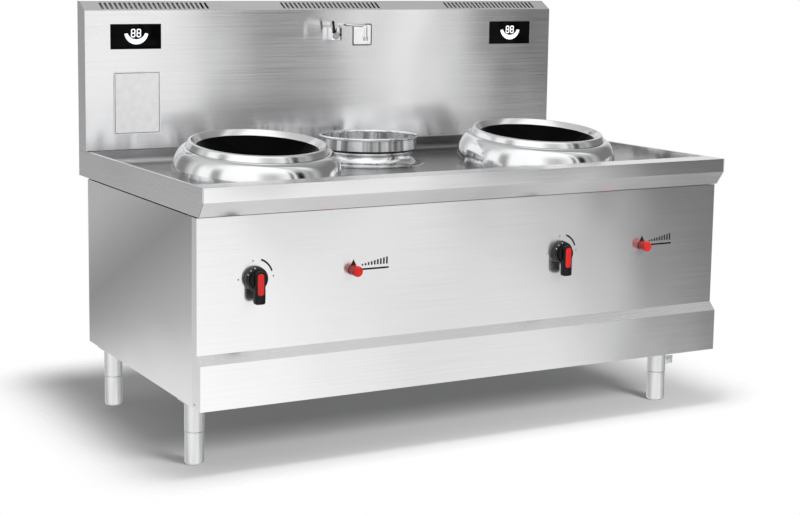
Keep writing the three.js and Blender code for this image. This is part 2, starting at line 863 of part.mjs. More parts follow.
function wokBowl() {
  const steps = 6;
  const edge = bowlEdgeRadius - touchGap;
  const outerCurve = bowlCurve + glassThickness;
  const inner = [];
  const outer = [];
  for (let i = 0; i <= steps; i++) {
    const angle = (Math.asin(bowlOpening / bowlCurve) * i) / steps;
    inner.push([bowlCurve * Math.sin(angle), bowlCentre - bowlCurve * Math.cos(angle)]);
    const outerAngle = (Math.asin(edge / outerCurve) * i) / steps;
    outer.push([outerCurve * Math.sin(outerAngle), bowlCentre - outerCurve * Math.cos(outerAngle)]);
  }
  return turned([...outer, [edge, glassEdge], ...inner.reverse()], roundSteps);
}

// The coil's carrier hangs under the seat like a pan; the winding inside it follows the bowl.
const panTop = bowlHeight(seatInner, bowlCurve + glassThickness + touchGap * 2) - 3;
const coilGap = 5; // between the glass and the winding
const coilThickness = 12;
const panWall = 2;
const panRadius = seatInner + 16;

// Pan, stand and winding in one turned section.
function coilAssembly() {
  const innerCurve = bowlCurve + glassThickness + coilGap;
  const outerCurve = innerCurve + coilThickness;
  const floor = bowlHeight(0, outerCurve);
  const winding = [25, 150]; // inner and outer radius
  const stand = [85, 95];
  const steps = 4;
  const under = (from, to) => {
    const points = [];
    for (let i = 0; i <= steps / 2; i++) {
      const r = from + ((to - from) * i) / (steps / 2);
      points.push([r, bowlHeight(r, outerCurve)]);
    }
    return points;
  };
  const over = [];
  for (let i = 0; i <= steps; i++) {
    const r = winding[1] + ((winding[0] - winding[1]) * i) / steps;
    over.push([r, bowlHeight(r, innerCurve)]);
  }
  return turned(
    [
      [0, floor - panWall],
      [panRadius, floor - panWall],
      [panRadius, panTop],
      [seatInner, panTop],
      [seatInner, panTop - panWall],
      [panRadius - panWall, panTop - panWall],
      [panRadius - panWall, floor],
      [stand[1], floor],
      ...under(stand[1], winding[1]),
      ...over,
      ...under(winding[0], stand[0]),
      [stand[0], floor],
      [0, floor],
    ],
    innerSteps,
  );
}

for (const { word, dir } of sides) {
  const standing = new THREE.Group();
  standing.position.set(dir * stationOffset, stationY, deckTop + touchGap);
  range.add(standing);
  piece(`wok_dome_${word}`, wokDome(), polishedSteel, standing);
  const leaning = new THREE.Group();
  leaning.rotation.x = lean;
  standing.add(leaning);
  piece(`wok_collar_${word}`, wokCollar(), polishedSteel, leaning);
  piece(`wok_bowl_${word}`, wokBowl(), blackGlass, leaning);
  piece(`coil_assembly_${word}`, coilAssembly(), copper, leaning);
}

// ---------------------------------------------------------------- centre well

const wellRimZ = worktopHeight + wellRimHeight;
const bandBottom = wellRimZ - wellBandHeight;
const bandWall = 3;

function wellBand() {
  const lip = arc([wellRimRadius + 1, wellRimZ - wellLipRadius], wellLipRadius, -45, 180, 5);
  return turned(
    [
      [wellThroat, bandBottom],
      [wellRimRadius, bandBottom],
      ...lip,
      [wellRimRadius - bandWall - 1, wellRimZ - wellLipRadius * 2],
      [wellRimRadius - bandWall, bandBottom + bandWall],
      [wellThroat, bandBottom + bandWall],
    ],
    roundSteps,
  );
}

function wellPedestal() {
  const low = deckTop + touchGap;
  const high = bandBottom - touchGap;
  const waist = low + (high - low) * 0.62;
  const steps = 6;
  const outer = [];
  for (let i = 0; i <= steps; i++) {
    const angle = (Math.PI / 2) * (i / steps);
    const r = pedestalFootRadius - (pedestalFootRadius - waistRadius) * Math.sin(angle);
    outer.push([r, waist - (waist - low) * Math.cos(angle)]);
  }
  const neck = waistRadius + 4;
  const profile = [[wellThroat, low], ...outer, [neck, high], [wellThroat, high]];
  return turned(profile, roundSteps);
}

function wellBasin() {
  const flangeLow = bandBottom + bandWall + touchGap;
  const flangeHigh = flangeLow + sheet;
  const floor = flangeHigh - basinDepth;
  const corner = 24;
  const tail = { radius: 20, length: 60 };
  return turned(
    [
      [tail.radius - sheet, floor - tail.length],
      [tail.radius, floor - tail.length],
      [tail.radius, floor - sheet],
      ...arc([basinRadius - corner, floor - sheet + corner], corner, -90, 0, 3),
      [basinRadius, flangeLow],
      [wellRimRadius - bandWall - 1, flangeLow],
      [wellRimRadius - bandWall - 1, flangeHigh],
      [basinRadius - sheet, flangeHigh],
      ...arc([basinRadius - corner, floor + corner - sheet], corner - sheet, 0, -90, 3),
      [tail.radius - sheet, floor],
    ],
    roundSteps,
  );
}

const well = new THREE.Group();
well.position.set(0, wellSetback, 0);
range.add(well);
piece("well_band", wellBand(), polishedSteel, well);
piece("well_pedestal", wellPedestal(), polishedSteel, well);
piece("well_basin", wellBasin(), polishedSteel, well);

// ---------------------------------------------------------------- power modules and fans

const moduleSize = { width: 320, depth: 260, height: 140 };
const fanRadius = 56;
const fanDepth = 32;
const spindleRadius = 4;

function powerModule() {
  const { width, depth, height } = moduleSize;
  const casing = box([-width / 2, width / 2], [-depth / 2, depth / 2], [0, height]);
  const mouthEnd = -depth / 2 + fanDepth + 8;
  const mouth = rodAlongY(0, [-depth / 2 - 1, mouthEnd], height / 2, fanRadius + 4, innerSteps);
  const spindle = rodAlongY(0, [-depth / 2 + 2, mouthEnd + 2], height / 2, spindleRadius, 12);
  return casing.subtract(mouth).add(spindle);
}

function fanRotor() {
  const start = -moduleSize.depth / 2 + 4;
  const hub = rodAlongY(0, [start, start + fanDepth], 0, 20, holeSteps);
  const blades = 7;
  const parts = [hub];
  for (let i = 0; i < blades; i++) {
    const geometry = new THREE.BoxGeometry(fanRadius - 15, fanDepth * 0.8, 2);
    geometry.rotateX(0.6);
    geometry.translate(15 + (fanRadius - 15) / 2, start + fanDepth / 2, 0);
    geometry.rotateY((Math.PI * 2 * i) / blades);
    parts.push(solid(geometry));
  }
  const bore = rodAlongY(0, [start - 1, start + fanDepth + 1], 0, spindleRadius + runningGap / 2, 12);
  return joined(parts).subtract(bore);
}

for (const { word, dir } of sides) {
  const bay = new THREE.Group();
  bay.position.set(dir * stationOffset, stationY, cabinetFloorTop + touchGap);
  range.add(bay);
  piece(`power_module_${word}`, powerModule(), greyPlastic, bay);
  const rotor = piece(`fan_rotor_${word}`, fanRotor(), blackPlastic, bay);
  rotor.position.z = moduleSize.height / 2;
}

// ---------------------------------------------------------------- rotary switches

const blockDepth = 50;

function switchHandle() {
  const hubBack = -collarProjection - runningGap;
  const hub = rodAlongY(0, [hubBack - 8, hubBack], 0, collarFrontRadius - 4, innerSteps);
  const length = handleUp + handleDown;
  const outline = roundedRectangle([0, handleUp - length / 2], handleWidth, length, handleWidth / 3, 4);
  const lever = alongY(outline, -handleProjection, hubBack - 4);
  const recess = alongY(insertOutline(0), -handleProjection - 1, -handleProjection + insertDepth);
  const shaft = rodAlongY(0, [hubBack - 4, sheet + touchGap + blockDepth / 2], 0, shaftRadius, 16);
  return joined([hub, lever, shaft]).subtract(recess);
}

const insertDepth = 3;
function insertOutline(shrink) {
  const width = insertWidth - shrink * 2;
  const length = handleUp + handleDown - 32 - shrink * 2;
  return roundedRectangle([0, -11], width, length, width / 2 - 0.5, 4);
}

function switchCollar() {
  const bore = shaftRadius + runningGap;
  const profile = [
    [bore, touchGap],
    [collarBaseRadius, touchGap],
    [collarBaseRadius - 1, collarProjection - 5],
    [collarFrontRadius, collarProjection],
    [bore, collarProjection],
  ];
  return turned(profile, innerSteps);
}

function switchBlock() {
  const y = sheet + touchGap;
  const casing = box([-25, 25], [y, y + blockDepth], [-28, 28]);
  const socket = rodAlongY(0, [y - 1, y + blockDepth / 2 + 2], 0, shaftRadius + runningGap, 16);
  return casing.subtract(socket);
}

for (const { word, dir } of sides) {
  const place = new THREE.Group();
  place.position.set(dir * stationOffset + switchOffset, fasciaFace, controlHeight);
  range.add(place);
  const collar = piece(`switch_collar_${word}`, switchCollar(), blackPlastic, place);
  collar.rotation.x = Math.PI / 2;
  piece(`switch_handle_${word}`, switchHandle(), blackPlastic, place);
  const insertBack = -handleProjection + insertDepth - touchGap;
  const insert = alongY(insertOutline(touchGap), -handleProjection - insertProud, insertBack);
  piece(`switch_insert_${word}`, insert, redPlastic, place);
  piece(`switch_block_${word}`, switchBlock(), greyPlastic, place);
}

// ---------------------------------------------------------------- slide controls

const stemWidth = 8;
const stemHeight = slideSlotHeight - runningGap;
const railRadius = 5;
const railY = sheet + 16; // behind the fascia's face
const carriageHalf = 12;
const knobGap = 2; // between the fascia and the knob

function slideKnob() {
  const socketDepth = 14;
  const knob = turned(
    [
      [0, knobGap],
      [knobRadius - 1.5, knobGap],
      [knobRadius, knobGap + 2],
      [knobRadius, knobProjection - 4],
      [knobRadius - 1.5, knobProjection - 1.2],
      [knobRadius - 5, knobProjection],
      [0, knobProjection],
    ],
    holeSteps,
  );
  const half = [stemWidth / 2 + touchGap, stemHeight / 2 + touchGap];
  return knob.subtract(box([-half[0], half[0]], [-half[1], half[1]], [0, knobGap + socketDepth]));
}

function slideCarriage() {
  const body = box([-carriageHalf, carriageHalf], [railY - 11, railY + 11], [-11, 11]);
  const stemTip = -knobGap - 12;
  const stem = box([-stemWidth / 2, stemWidth / 2], [stemTip, railY], [-stemHeight / 2, stemHeight / 2]);
  const bore = rodAlongX([-carriageHalf - 1, carriageHalf + 1], railY, 0, railRadius + runningGap / 2, 16);
  return body.add(stem).subtract(bore);
}

function slideRail() {
  const start = -carriageHalf - runningGap;
  const end = slideTravel + carriageHalf + runningGap;
  const blockLength = 12;
  const y = [sheet + touchGap, railY + 12];
  const rod = rodAlongX([start - blockLength / 2, end + blockLength / 2], railY, 0, railRadius, 16);
  const blocks = [
    box([start - blockLength, start], y, [-14, 14]),
    box([end, end + blockLength], y, [-14, 14]),
  ];
  return joined([rod, ...blocks]);
}

for (const { word, dir } of sides) {
  const place = new THREE.Group();
  place.position.set(dir * stationOffset + slideZeroOffset, fasciaFace, controlHeight);
  range.add(place);
  const knob = piece(`slide_knob_${word}`, slideKnob(), redPlastic, place);
  knob.rotation.x = Math.PI / 2;
  piece(`slide_carriage_${word}`, slideCarriage(), blackPlastic, place);
  piece(`slide_rail_${word}`, slideRail(), darkSteel, place);
}

// ---------------------------------------------------------------- cable gland

function cableGland() {
  const bore = glandRadius / 2;
  return turned(
    [
      [bore, -12],
      [glandRadius - touchGap, -12],
      [glandRadius - touchGap, touchGap],
      [glandRadius + 6, touchGap],
      [glandRadius + 6, 10],
      [glandRadius, 22],
      [bore, 22],
    ],
    12,
  );
}
const gland = piece("cable_gland", cableGland(), blackPlastic, range);
gland.rotation.x = -Math.PI / 2;
gland.position.set(glandX, cabinetBack, cabinetFloorTop + glandHeight);

export default range;
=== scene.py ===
import math

import bmesh
import bpy
from mathutils import Matrix, Vector


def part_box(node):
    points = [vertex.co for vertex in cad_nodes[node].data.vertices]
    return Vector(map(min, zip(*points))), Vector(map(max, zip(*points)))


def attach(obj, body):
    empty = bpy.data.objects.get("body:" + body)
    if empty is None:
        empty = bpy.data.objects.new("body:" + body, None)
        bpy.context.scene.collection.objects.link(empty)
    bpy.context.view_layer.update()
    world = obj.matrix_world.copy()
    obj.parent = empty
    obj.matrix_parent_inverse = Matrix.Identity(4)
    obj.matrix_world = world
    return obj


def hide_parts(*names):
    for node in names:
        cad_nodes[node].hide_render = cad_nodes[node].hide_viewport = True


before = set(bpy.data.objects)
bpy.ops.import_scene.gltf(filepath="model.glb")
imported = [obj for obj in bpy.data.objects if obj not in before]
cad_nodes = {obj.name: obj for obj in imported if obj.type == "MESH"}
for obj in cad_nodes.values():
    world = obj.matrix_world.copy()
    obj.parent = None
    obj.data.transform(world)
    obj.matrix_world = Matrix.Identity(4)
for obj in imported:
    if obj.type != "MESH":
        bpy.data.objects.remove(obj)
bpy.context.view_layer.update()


# ---------------------------------------------------------------------------
# The photograph's view. The camera stands left of the range at head height, a
# little turned down, with a long lens. The shift gives the photograph's frame.
def new_object(name, data):
    """An object in the scene."""
    made = bpy.data.objects.new(name, data)
    bpy.context.scene.collection.objects.link(made)
    return made


lens_pixels = 1554.0
photo_width = 800
turned_right = math.radians(26.05)
looking_down = math.radians(7.42)
rolled = math.radians(0.35)

view = bpy.data.cameras.new("photograph_view")
view.sensor_width = 36.0
view.lens = lens_pixels * view.sensor_width / photo_width
view.shift_x = 0.1325
view.shift_y = -0.094
view.clip_end = 200.0
camera = new_object("photograph_view", view)
bpy.context.scene.camera = camera
camera.location = (-2.4927, -4.3432, 1.3666)
camera.rotation_euler = (
    Matrix.Rotation(-turned_right, 4, "Z")
    @ Matrix.Rotation(math.pi / 2 - looking_down, 4, "X")
    @ Matrix.Rotation(rolled, 4, "Z")
).to_euler()


# ---------------------------------------------------------------------------
# The studio floor: a large pale sheet that fades into the white room. It keeps
# the range's soft shadow, and metal sees the white room through it.
class Tone:
    """A number or a colour in a node tree, which can be worked with like a number."""

    def __init__(self, tree, socket):
        self.tree = tree
        self.socket = socket

    def maths(self, operation, first, second):
        return self.tree.node("ShaderNodeMath", {"operation": operation}, {0: first, 1: second})

    def __add__(self, other):
        return self.maths("ADD", self, other)

    def __sub__(self, other):
        return self.maths("SUBTRACT", self, other)

    def __rsub__(self, other):
        return self.maths("SUBTRACT", other, self)

    def __mul__(self, other):
        return self.maths("MULTIPLY", self, other)

    def __truediv__(self, other):
        return self.maths("DIVIDE", self, other)

    def __pow__(self, other):
        return self.maths("POWER", self, other)

    __radd__ = __add__
    __rmul__ = __mul__

    def unsigned(self):
        return (self**2.0) ** 0.5

    def sine(self):
        return self.maths("SINE", self, 0.0)

    def cosine(self):
        return self.maths("COSINE", self, 0.0)

    def least(self, other):
        return self.maths("MINIMUM", self, other)

    def most(self, other):
        return self.maths("MAXIMUM", self, other)

    def eased(self, low, high):
        """0 below low, 1 above high, and a smooth step between them."""
        sockets = {"Value": self, "From Min": low, "From Max": high}
        return self.tree.node("ShaderNodeMapRange", {"interpolation_type": "SMOOTHSTEP"}, sockets)


class Tree:
    """A node tree that is written as expressions."""

    def __init__(self, tree):
        self.tree = tree

    def node(self, kind, settings=None, sockets=None, output=0):
        """A node of a type, with its settings and then the values or links of its sockets."""
        made = self.tree.nodes.new(kind)
        for key, value in (settings or {}).items():
            if key == "stops":
                ramp = made.color_ramp.elements
                while len(ramp) < len(value):
                    ramp.new(1.0)
                for stop, (position, tone) in zip(ramp, value):
                    stop.position = position
                    stop.color = (tone, tone, tone, 1.0)
            else:
                setattr(made, key, value)
        for key, value in (sockets or {}).items():
            self.feed(made.inputs[key], value)
        return Tone(self, made.outputs[output]) if made.outputs else None

    def feed(self, socket, value):
        """Gives a socket a value or a link, or several links as a list."""
        for part in value if isinstance(value, list) else [value]:
            if isinstance(part, Tone):
                self.tree.links.new(part.socket, socket)
            else:
                socket.default_value = part

    def split(self, vector):
        parts = self.node("ShaderNodeSeparateXYZ", None, {0: vector})
        return [Tone(self, socket) for socket in parts.socket.node.outputs]

    def joined(self, *parts):
        """A vector from its first numbers."""
        return self.node("ShaderNodeCombineXYZ", None, dict(enumerate(parts)))

    def mixed(self, share, first, second, way="MIX"):
        """Two colours mixed by a share from 0 to 1, or in another of the Mix node's ways."""
        first, second = (colour if isinstance(colour, Tone) else (*colour, 1.0) for colour in (first, second))
        settings = {"data_type": "RGBA", "blend_type": way}
        return self.node("ShaderNodeMix", settings, {0: share, 6: first, 7: second}, 2)


class Finish(Tree):
    """A finish: a named material with one Principled shader."""

    def __init__(self, name, colour, roughness, metallic=0.0):
        self.material = bpy.data.materials.new(name)
        self.material.use_nodes = True
        super().__init__(self.material.node_tree)
        self.shader = self.tree.nodes["Principled BSDF"]
        self.place = self.node("ShaderNodeTexCoord", output="Object")
        self.material.diffuse_color = (*colour, 1.0)
        self.set("Base Color", (*colour, 1.0))
        self.set("Roughness", roughness)
        self.set("Metallic", metallic)

    def set(self, socket, value):
        self.feed(self.shader.inputs[socket], value)

    def noise(self, vector, scale=1.0, detail=2.0):
        """Noise from about 0.3 to 0.7."""
        return self.node("ShaderNodeTexNoise", None, {"Vector": vector, "Scale": scale, "Detail": detail})

    def grain(self, stretch, detail=2.0, at=(0.0, 0.0, 0.0)):
        """Noise with the given number of features per metre, the same all ways or along x, y and z."""
        stretch = (stretch,) * 3 if isinstance(stretch, float) else stretch
        sockets = {"Vector": self.place, "Location": at, "Scale": stretch}
        return self.noise(self.node("ShaderNodeMapping", None, sockets), 1.0, detail)

    def relief(self, height):
        """The surface's small heights, in metres."""
        sockets = {"Strength": 1.0, "Distance": 1.0, "Height": height}
        self.set("Normal", self.node("ShaderNodeBump", None, sockets, "Normal"))


floor_reach = 2.6
shadow_middle = (0.07, 0.1)
shadow_half = (0.93, 0.5)
shadow_fade = 0.38
floor_mesh = bpy.data.meshes.new("studio_floor")
shape = bmesh.new()
bmesh.ops.create_circle(shape, cap_ends=True, radius=floor_reach, segments=64)
shape.to_mesh(floor_mesh)
shape.free()
floor = new_object("studio_floor", floor_mesh)

floor_finish = Finish("studio_floor", (0.86, 0.86, 0.865), 0.9)
floor_finish.set("Specular IOR Level", 0.0)
from_camera = floor_finish.node("ShaderNodeLightPath", output="Is Camera Ray")
from_gloss = floor_finish.node("ShaderNodeLightPath", output="Is Glossy Ray")
floor_finish.set("Emission Color", floor_finish.mixed(from_camera, (0.0, 0.0, 0.0), (0.055, 0.055, 0.055)))
floor_finish.set("Emission Strength", 1.0)
east, north, _ = floor_finish.split(floor_finish.place)
past_side = ((east - shadow_middle[0]).unsigned() - shadow_half[0]).most(0.0)
past_end = ((north - shadow_middle[1]).unsigned() - shadow_half[1]).most(0.0)
outside = (past_side**2.0 + past_end**2.0) ** 0.5
gone = outside.eased(0.0, shadow_fade).most(from_gloss)
clear = floor_finish.node("ShaderNodeBsdfTransparent")
painted = Tone(floor_finish, floor_finish.shader.outputs[0])
blend = floor_finish.node("ShaderNodeMixShader", None, {0: gone, 1: painted, 2: clear})
floor_finish.feed(floor_finish.tree.nodes["Material Output"].inputs["Surface"], blend)
floor_mesh.materials.append(floor_finish.material)

# ---------------------------------------------------------------------------
# The studio's light. The room is bright in front and overhead, and greyer at the
# sides, so that the steel shows soft bands. Two large soft lamps hang above.
room = bpy.data.worlds.new("studio_room")
bpy.context.scene.world = room
room.use_nodes = True
walls = Tree(room.node_tree)
east, north, up = walls.split(walls.node("ShaderNodeTexCoord", output="Generated"))
bearing = east.maths("ARCTAN2", east, north * -1.0) / math.tau + 0.5


def around(*stops):
    """Brightness by bearing: degrees from the front, positive to the right."""
    placed = [((degrees + 180.0) / 360.0, tone) for degrees, tone in stops]
    return walls.node("ShaderNodeValToRGB", {"stops": placed}, {"Fac": bearing})


level = around(
    (-180, 0.7), (-164, 0.4), (-156, 0.25), (-140, 0.25), (-124, 0.75), (-116, 0.5), (-107, 1.05), (-92, 1.05),
    (-86, 0.4), (-78, 0.35), (-70, 1.1), (-26, 1.15), (-13, 0.65), (0, 0.55), (20.8, 1.0), (23, 0.58), (24.7, 0.0),
    (26.5, 0.02), (28.2, 0.6), (29.7, 1.0), (31.2, 1.0), (33, 0.35), (33.9, 0.0), (43, 0.0), (46, 0.5), (55, 0.3),
    (63, 0.5), (76, 0.2), (115, 0.2), (136, 0.75), (180, 0.7),
)
below = around(
    (-180, 0.5), (-165, 0.48), (-160, 0.48), (-157, 0.6), (-150, 0.4), (-138, 0.12), (-126, 0.3), (-114, 0.6),
    (-104, 0.9), (-92, 0.9), (-84, 0.4), (-76, 0.6), (-68, 1.1), (-30, 0.75), (-5, 0.85), (15, 1.15), (27, 1.2),
    (31, 0.72), (35, 0.84), (37.8, 0.86), (38.9, 0.28), (39.9, 0.05), (40.7, 0.15), (46, 0.1), (52, 0.3), (60, 0.4),
    (68, 1.1), (74, 1.1), (78, 0.5), (83, 0.26), (130, 0.45), (180, 0.5),
)
lowest = around(
    (-180, 0.8), (-150, 0.95), (-130, 0.4), (-105, 0.2), (-90, 0.9), (-80, 1.1), (-35, 0.68), (-8, 0.8), (14, 1.15),
    (26, 1.2), (31, 0.84), (35, 1.1), (38.4, 1.1), (41, 0.34), (50, 0.2), (60, 0.5), (68, 1.1), (74, 1.1), (78, 0.5),
    (80.4, 0.36), (82.2, 0.0), (92, 0.1), (130, 0.5), (180, 0.7),
)
above = around(
    (-180, 0.5), (-150, 0.6), (-120, 0.62), (-100, 0.75), (-85, 1.0), (-60, 1.15), (25, 1.15), (36, 0.75), (50, 0.6),
    (60, 1.05), (66, 0.95), (70.5, 0.28), (100, 0.35), (128, 0.38), (136, 0.46), (180, 0.45),
)
overhead = walls.mixed(up.eased(0.35, 0.75), level, above)
lower = walls.mixed(up.eased(-0.1, -0.135), overhead, below)
tones = walls.mixed(up.eased(-0.215, -0.26), lower, lowest)
seen = walls.node("ShaderNodeLightPath", output="Is Camera Ray")
paths = walls.node("ShaderNodeLightPath", output="Is Glossy Ray").socket.node.outputs
scattered = Tone(walls, paths["Diffuse Depth"])
reflected = Tone(walls, paths["Is Glossy Ray"]) * (1.0 - scattered.least(1.0))
soft = walls.mixed(reflected, (0.28, 0.28, 0.282), tones)
walls.feed(room.node_tree.nodes["Background"].inputs["Color"], walls.mixed(seen, soft, (1.0, 1.0, 1.0)))

for lamp_name, spot, aim, size, power in (
    ("soft_lamp_above", (0.1, -0.5, 3.7), (0.0, 0.0, 0.0), (1.3, 1.0), 100.0),
    ("soft_lamp_front", (1.4, -4.2, 2.6), (0.0, -0.4, 0.5), (1.8, 1.4), 150.0),
):
    lamp = bpy.data.lights.new(lamp_name, "AREA")
    lamp.shape = "RECTANGLE"
    lamp.size, lamp.size_y = size
    lamp.energy = power
    hung = new_object(lamp_name, lamp)
    hung.location = spot
    hung.rotation_euler = (Vector(aim) - Vector(spot)).to_track_quat("-Z", "Y").to_euler()
    hung.visible_glossy = False


# ---------------------------------------------------------------------------
# Welded frame: square stainless tube under the worktop and round the cabinet,
# mitred and welded, left in its mill finish. The CAD solid is kept.
def mill_steel(name):
    """Unpolished tube and plate: duller, with cloudy patches and fine scratches."""
    finish = Finish(name, (0.42, 0.43, 0.44), 0.45, 1.0)
    cloud = finish.grain(9.0, 4.0)
    scratch = finish.grain((300.0, 14.0, 300.0))
    finish.set("Base Color", finish.mixed(cloud, (0.3, 0.305, 0.31), (0.56, 0.57, 0.58)))
    finish.set("Roughness", 0.36 + cloud * 0.2 + scratch * 0.1)
    finish.relief(scratch * 0.00003)
    return finish


def dressed(node, finish):
    """A CAD node that stays as it is and takes a finish."""
    mesh = cad_nodes[node].data
    mesh.materials.clear()
    mesh.materials.append(finish.material)


frame_steel = mill_steel("mill_steel")
dressed("welded_frame", frame_steel)


# ---------------------------------------------------------------------------
# Legs: polished round tube with a square flange screwed under the cabinet. The
# front right one carries a small bonding tab with a bolt.
def polished_steel(name, centre, shine, drawn=0.5, painted_streaks=0.0):
    """Turned and buffed stainless, with fine rings round the piece's axis that draw its highlights out.

    Streaks are darker strips up its wall, painted in to stand in for the streaked reflections of spun metal.
    """
    finish = Finish(name, (0.8, 0.805, 0.815), shine, 1.0)
    east, north, up = finish.split(finish.place)
    east, north = east - centre[0], north - centre[1]
    radius = (east**2.0 + north**2.0) ** 0.5
    ring = finish.noise(finish.joined(radius * 420.0, up * 420.0))
    haze = finish.grain(7.0)
    colour = finish.mixed(haze, (0.84, 0.845, 0.855), (0.94, 0.945, 0.95))
    # Painted reflection: darker strips round the axis stand in for the streaked reflections of spun metal.
    if painted_streaks:
        streak_shade = finish.noise(finish.joined(east / radius, north / radius), 5.0)
        colour = finish.mixed(1.0, colour, 1.0 - streak_shade.eased(0.46, 0.6) * painted_streaks, "MULTIPLY")
    finish.set("Base Color", colour)
    finish.set("Roughness", shine + (ring - 0.5) * 0.08 + haze * 0.05)
    finish.set("Anisotropic", drawn)
    finish.set("Anisotropic Rotation", 0.25)
    finish.relief(ring * 0.00002)
    return finish


def piece(name, mesh, finish, *stands_for, body="range"):
    """A finished object that rides on a body, and stands for the CAD nodes that it is modelled on."""
    mesh.name = name
    if not mesh.materials:
        mesh.materials.append(finish.material)
    made = new_object(name, mesh)
    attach(made, body)
    if stands_for:
        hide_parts(*stands_for)


def meshed(shape, crease=32.0):
    """A mesh from a bmesh, smooth but for its creases."""
    bmesh.ops.recalc_face_normals(shape, faces=shape.faces)
    mesh = bpy.data.meshes.new("piece")
    shape.to_mesh(mesh)
    shape.free()
    mesh.shade_smooth()
    mesh.set_sharp_from_angle(angle=math.radians(crease))
    return mesh


def arc(centre, radius, start, end, steps):
    """Points on an arc in a plane, angles in degrees."""
    angles = [math.radians(start + (end - start) * i / steps) for i in range(steps + 1)]
    return [(centre[0] + radius * math.cos(angle), centre[1] + radius * math.sin(angle)) for angle in angles]


def turned(profile, centre=(0.0, 0.0, 0.0), axis="z", steps=72):
    """A closed body turned from (radius, height) points about the z or y axis through the centre."""
    shape = bmesh.new()
    loops = []
    for radius, height in profile:
        angles = [math.tau * i / steps for i in range(1 if radius == 0.0 else steps)]
        loops.append([shape.verts.new((radius * math.cos(a), radius * math.sin(a), height)) for a in angles])
    pairs = list(zip(loops, loops[1:]))
    if profile[0][0] > 0.0:
        pairs.append((loops[-1], loops[0]))
    for lower, upper in pairs:
        for i in range(steps):
            j = (i + 1) % steps
            corners = [lower[i % len(lower)], lower[j % len(lower)], upper[j % len(upper)], upper[i % len(upper)]]
            corners = list(dict.fromkeys(corners))
            if len(corners) > 2:
                shape.faces.new(corners)
    upright = Matrix.Identity(4) if axis == "z" else Matrix.Rotation(math.pi / 2, 4, "X")
    return moved(shape, Matrix.Translation(centre) @ upright)


def moved(shape, matrix):
    """The same body, moved and turned."""
    bmesh.ops.transform(shape, matrix=matrix, verts=shape.verts)
    return shape


def softened(shape, width, steps=2):
    """Breaks a body's edges, as deburring does."""
    crease = math.radians(30.0)
    sharp = [edge for edge in shape.edges if edge.is_manifold and edge.calc_face_angle() > crease]
    bmesh.ops.bevel(shape, geom=sharp, offset=width, segments=steps, profile=0.5, affect="EDGES", clamp_overlap=True)
    return shape


def block(low, high, edge, steps=2):
    """A box from its low corner to its high one, with broken edges."""
    shape = bmesh.new()
    middle = (Vector(low) + Vector(high)) / 2
    size = Vector(high) - Vector(low)
    bmesh.ops.create_cube(shape, size=1.0, matrix=Matrix.Translation(middle) @ Matrix.Diagonal((*size, 1.0)))
    return softened(shape, edge, steps)


def together(whole, *others):
    """Several bodies that are one piece."""
    for other in others:
        mesh = bpy.data.meshes.new("part")
        other.to_mesh(mesh)
        other.free()
        whole.from_mesh(mesh)
        bpy.data.meshes.remove(mesh)
    return whole


legs = {
    "front_left": (-0.860, -0.368),
    "front_right": (0.785, -0.368),
    "rear_left": (-0.860, 0.318),
    "rear_right": (0.785, 0.318),
}
leg_radius = 0.029
leg_low, leg_high = 0.0964, 0.1866
flange_half = 0.038
for corner, (x, y) in legs.items():
    leg_steel = polished_steel(f"leg_steel_{corner}", (x, y), 0.42, 0.0)
    wall, weld = leg_radius - 0.003, leg_radius + 0.004
    tube = turned(
        [
            (wall, leg_low), (leg_radius - 0.0008, leg_low), (leg_radius, leg_low + 0.0008),
            (leg_radius, leg_high - 0.008), (leg_radius + 0.0015, leg_high - 0.0062),
            (weld, leg_high - 0.0045), (weld, leg_high - 0.002), (wall, leg_high - 0.002),
        ],
        (x, y, 0.0),
    )
    low = (x - flange_half, y - flange_half, leg_high - 0.004)
    leg = together(tube, block(low, (x + flange_half, y + flange_half, leg_high), 0.0008))
    if corner == "front_right":
        tab = block((x + 0.027, y - 0.002, 0.1146), (x + 0.066, y + 0.002, 0.1406), 0.0008)
        bolt_head = [(0.0, 0.0), (0.006, 0.0), (0.0068, 0.0008), (0.0068, 0.0035), (0.0055, 0.0046), (0.0, 0.005)]
        leg = together(leg, tab, turned(bolt_head, (x + 0.0475, y - 0.002, 0.1276), "y", 6))
    piece(f"leg_{corner}", meshed(leg), leg_steel, f"leg_tube_{corner}")

# ---------------------------------------------------------------------------
# Feet: cast and turned stainless cups that screw up into the legs. Each has a
# rounded heel, a thin joint under the leg and a threaded stem.
foot_radius = 0.0285
heel = 0.009
for corner, (x, y) in legs.items():
    thread = [(0.0122 if i % 2 else 0.0109, 0.0965 + i * 0.0012) for i in range(40)]
    cup = turned(
        [
            (0.0, 0.0), (foot_radius - heel, 0.0), *arc((foot_radius - heel, heel), heel, -60, 0, 6),
            (foot_radius, 0.0946), *arc((foot_radius - 0.0009, 0.0946), 0.0009, 15, 90, 3),
            (0.013, 0.0955), (0.012, 0.0960), *thread, (0.009, 0.1455), (0.0, 0.146),
        ],
        (x, y, 0.0),
    )
    foot_steel = polished_steel(f"foot_steel_{corner}", (x, y), 0.4, 0.0)
    piece(f"adjustable_foot_{corner}", meshed(cup), foot_steel, f"foot_{corner}", body=f"foot_{corner}")


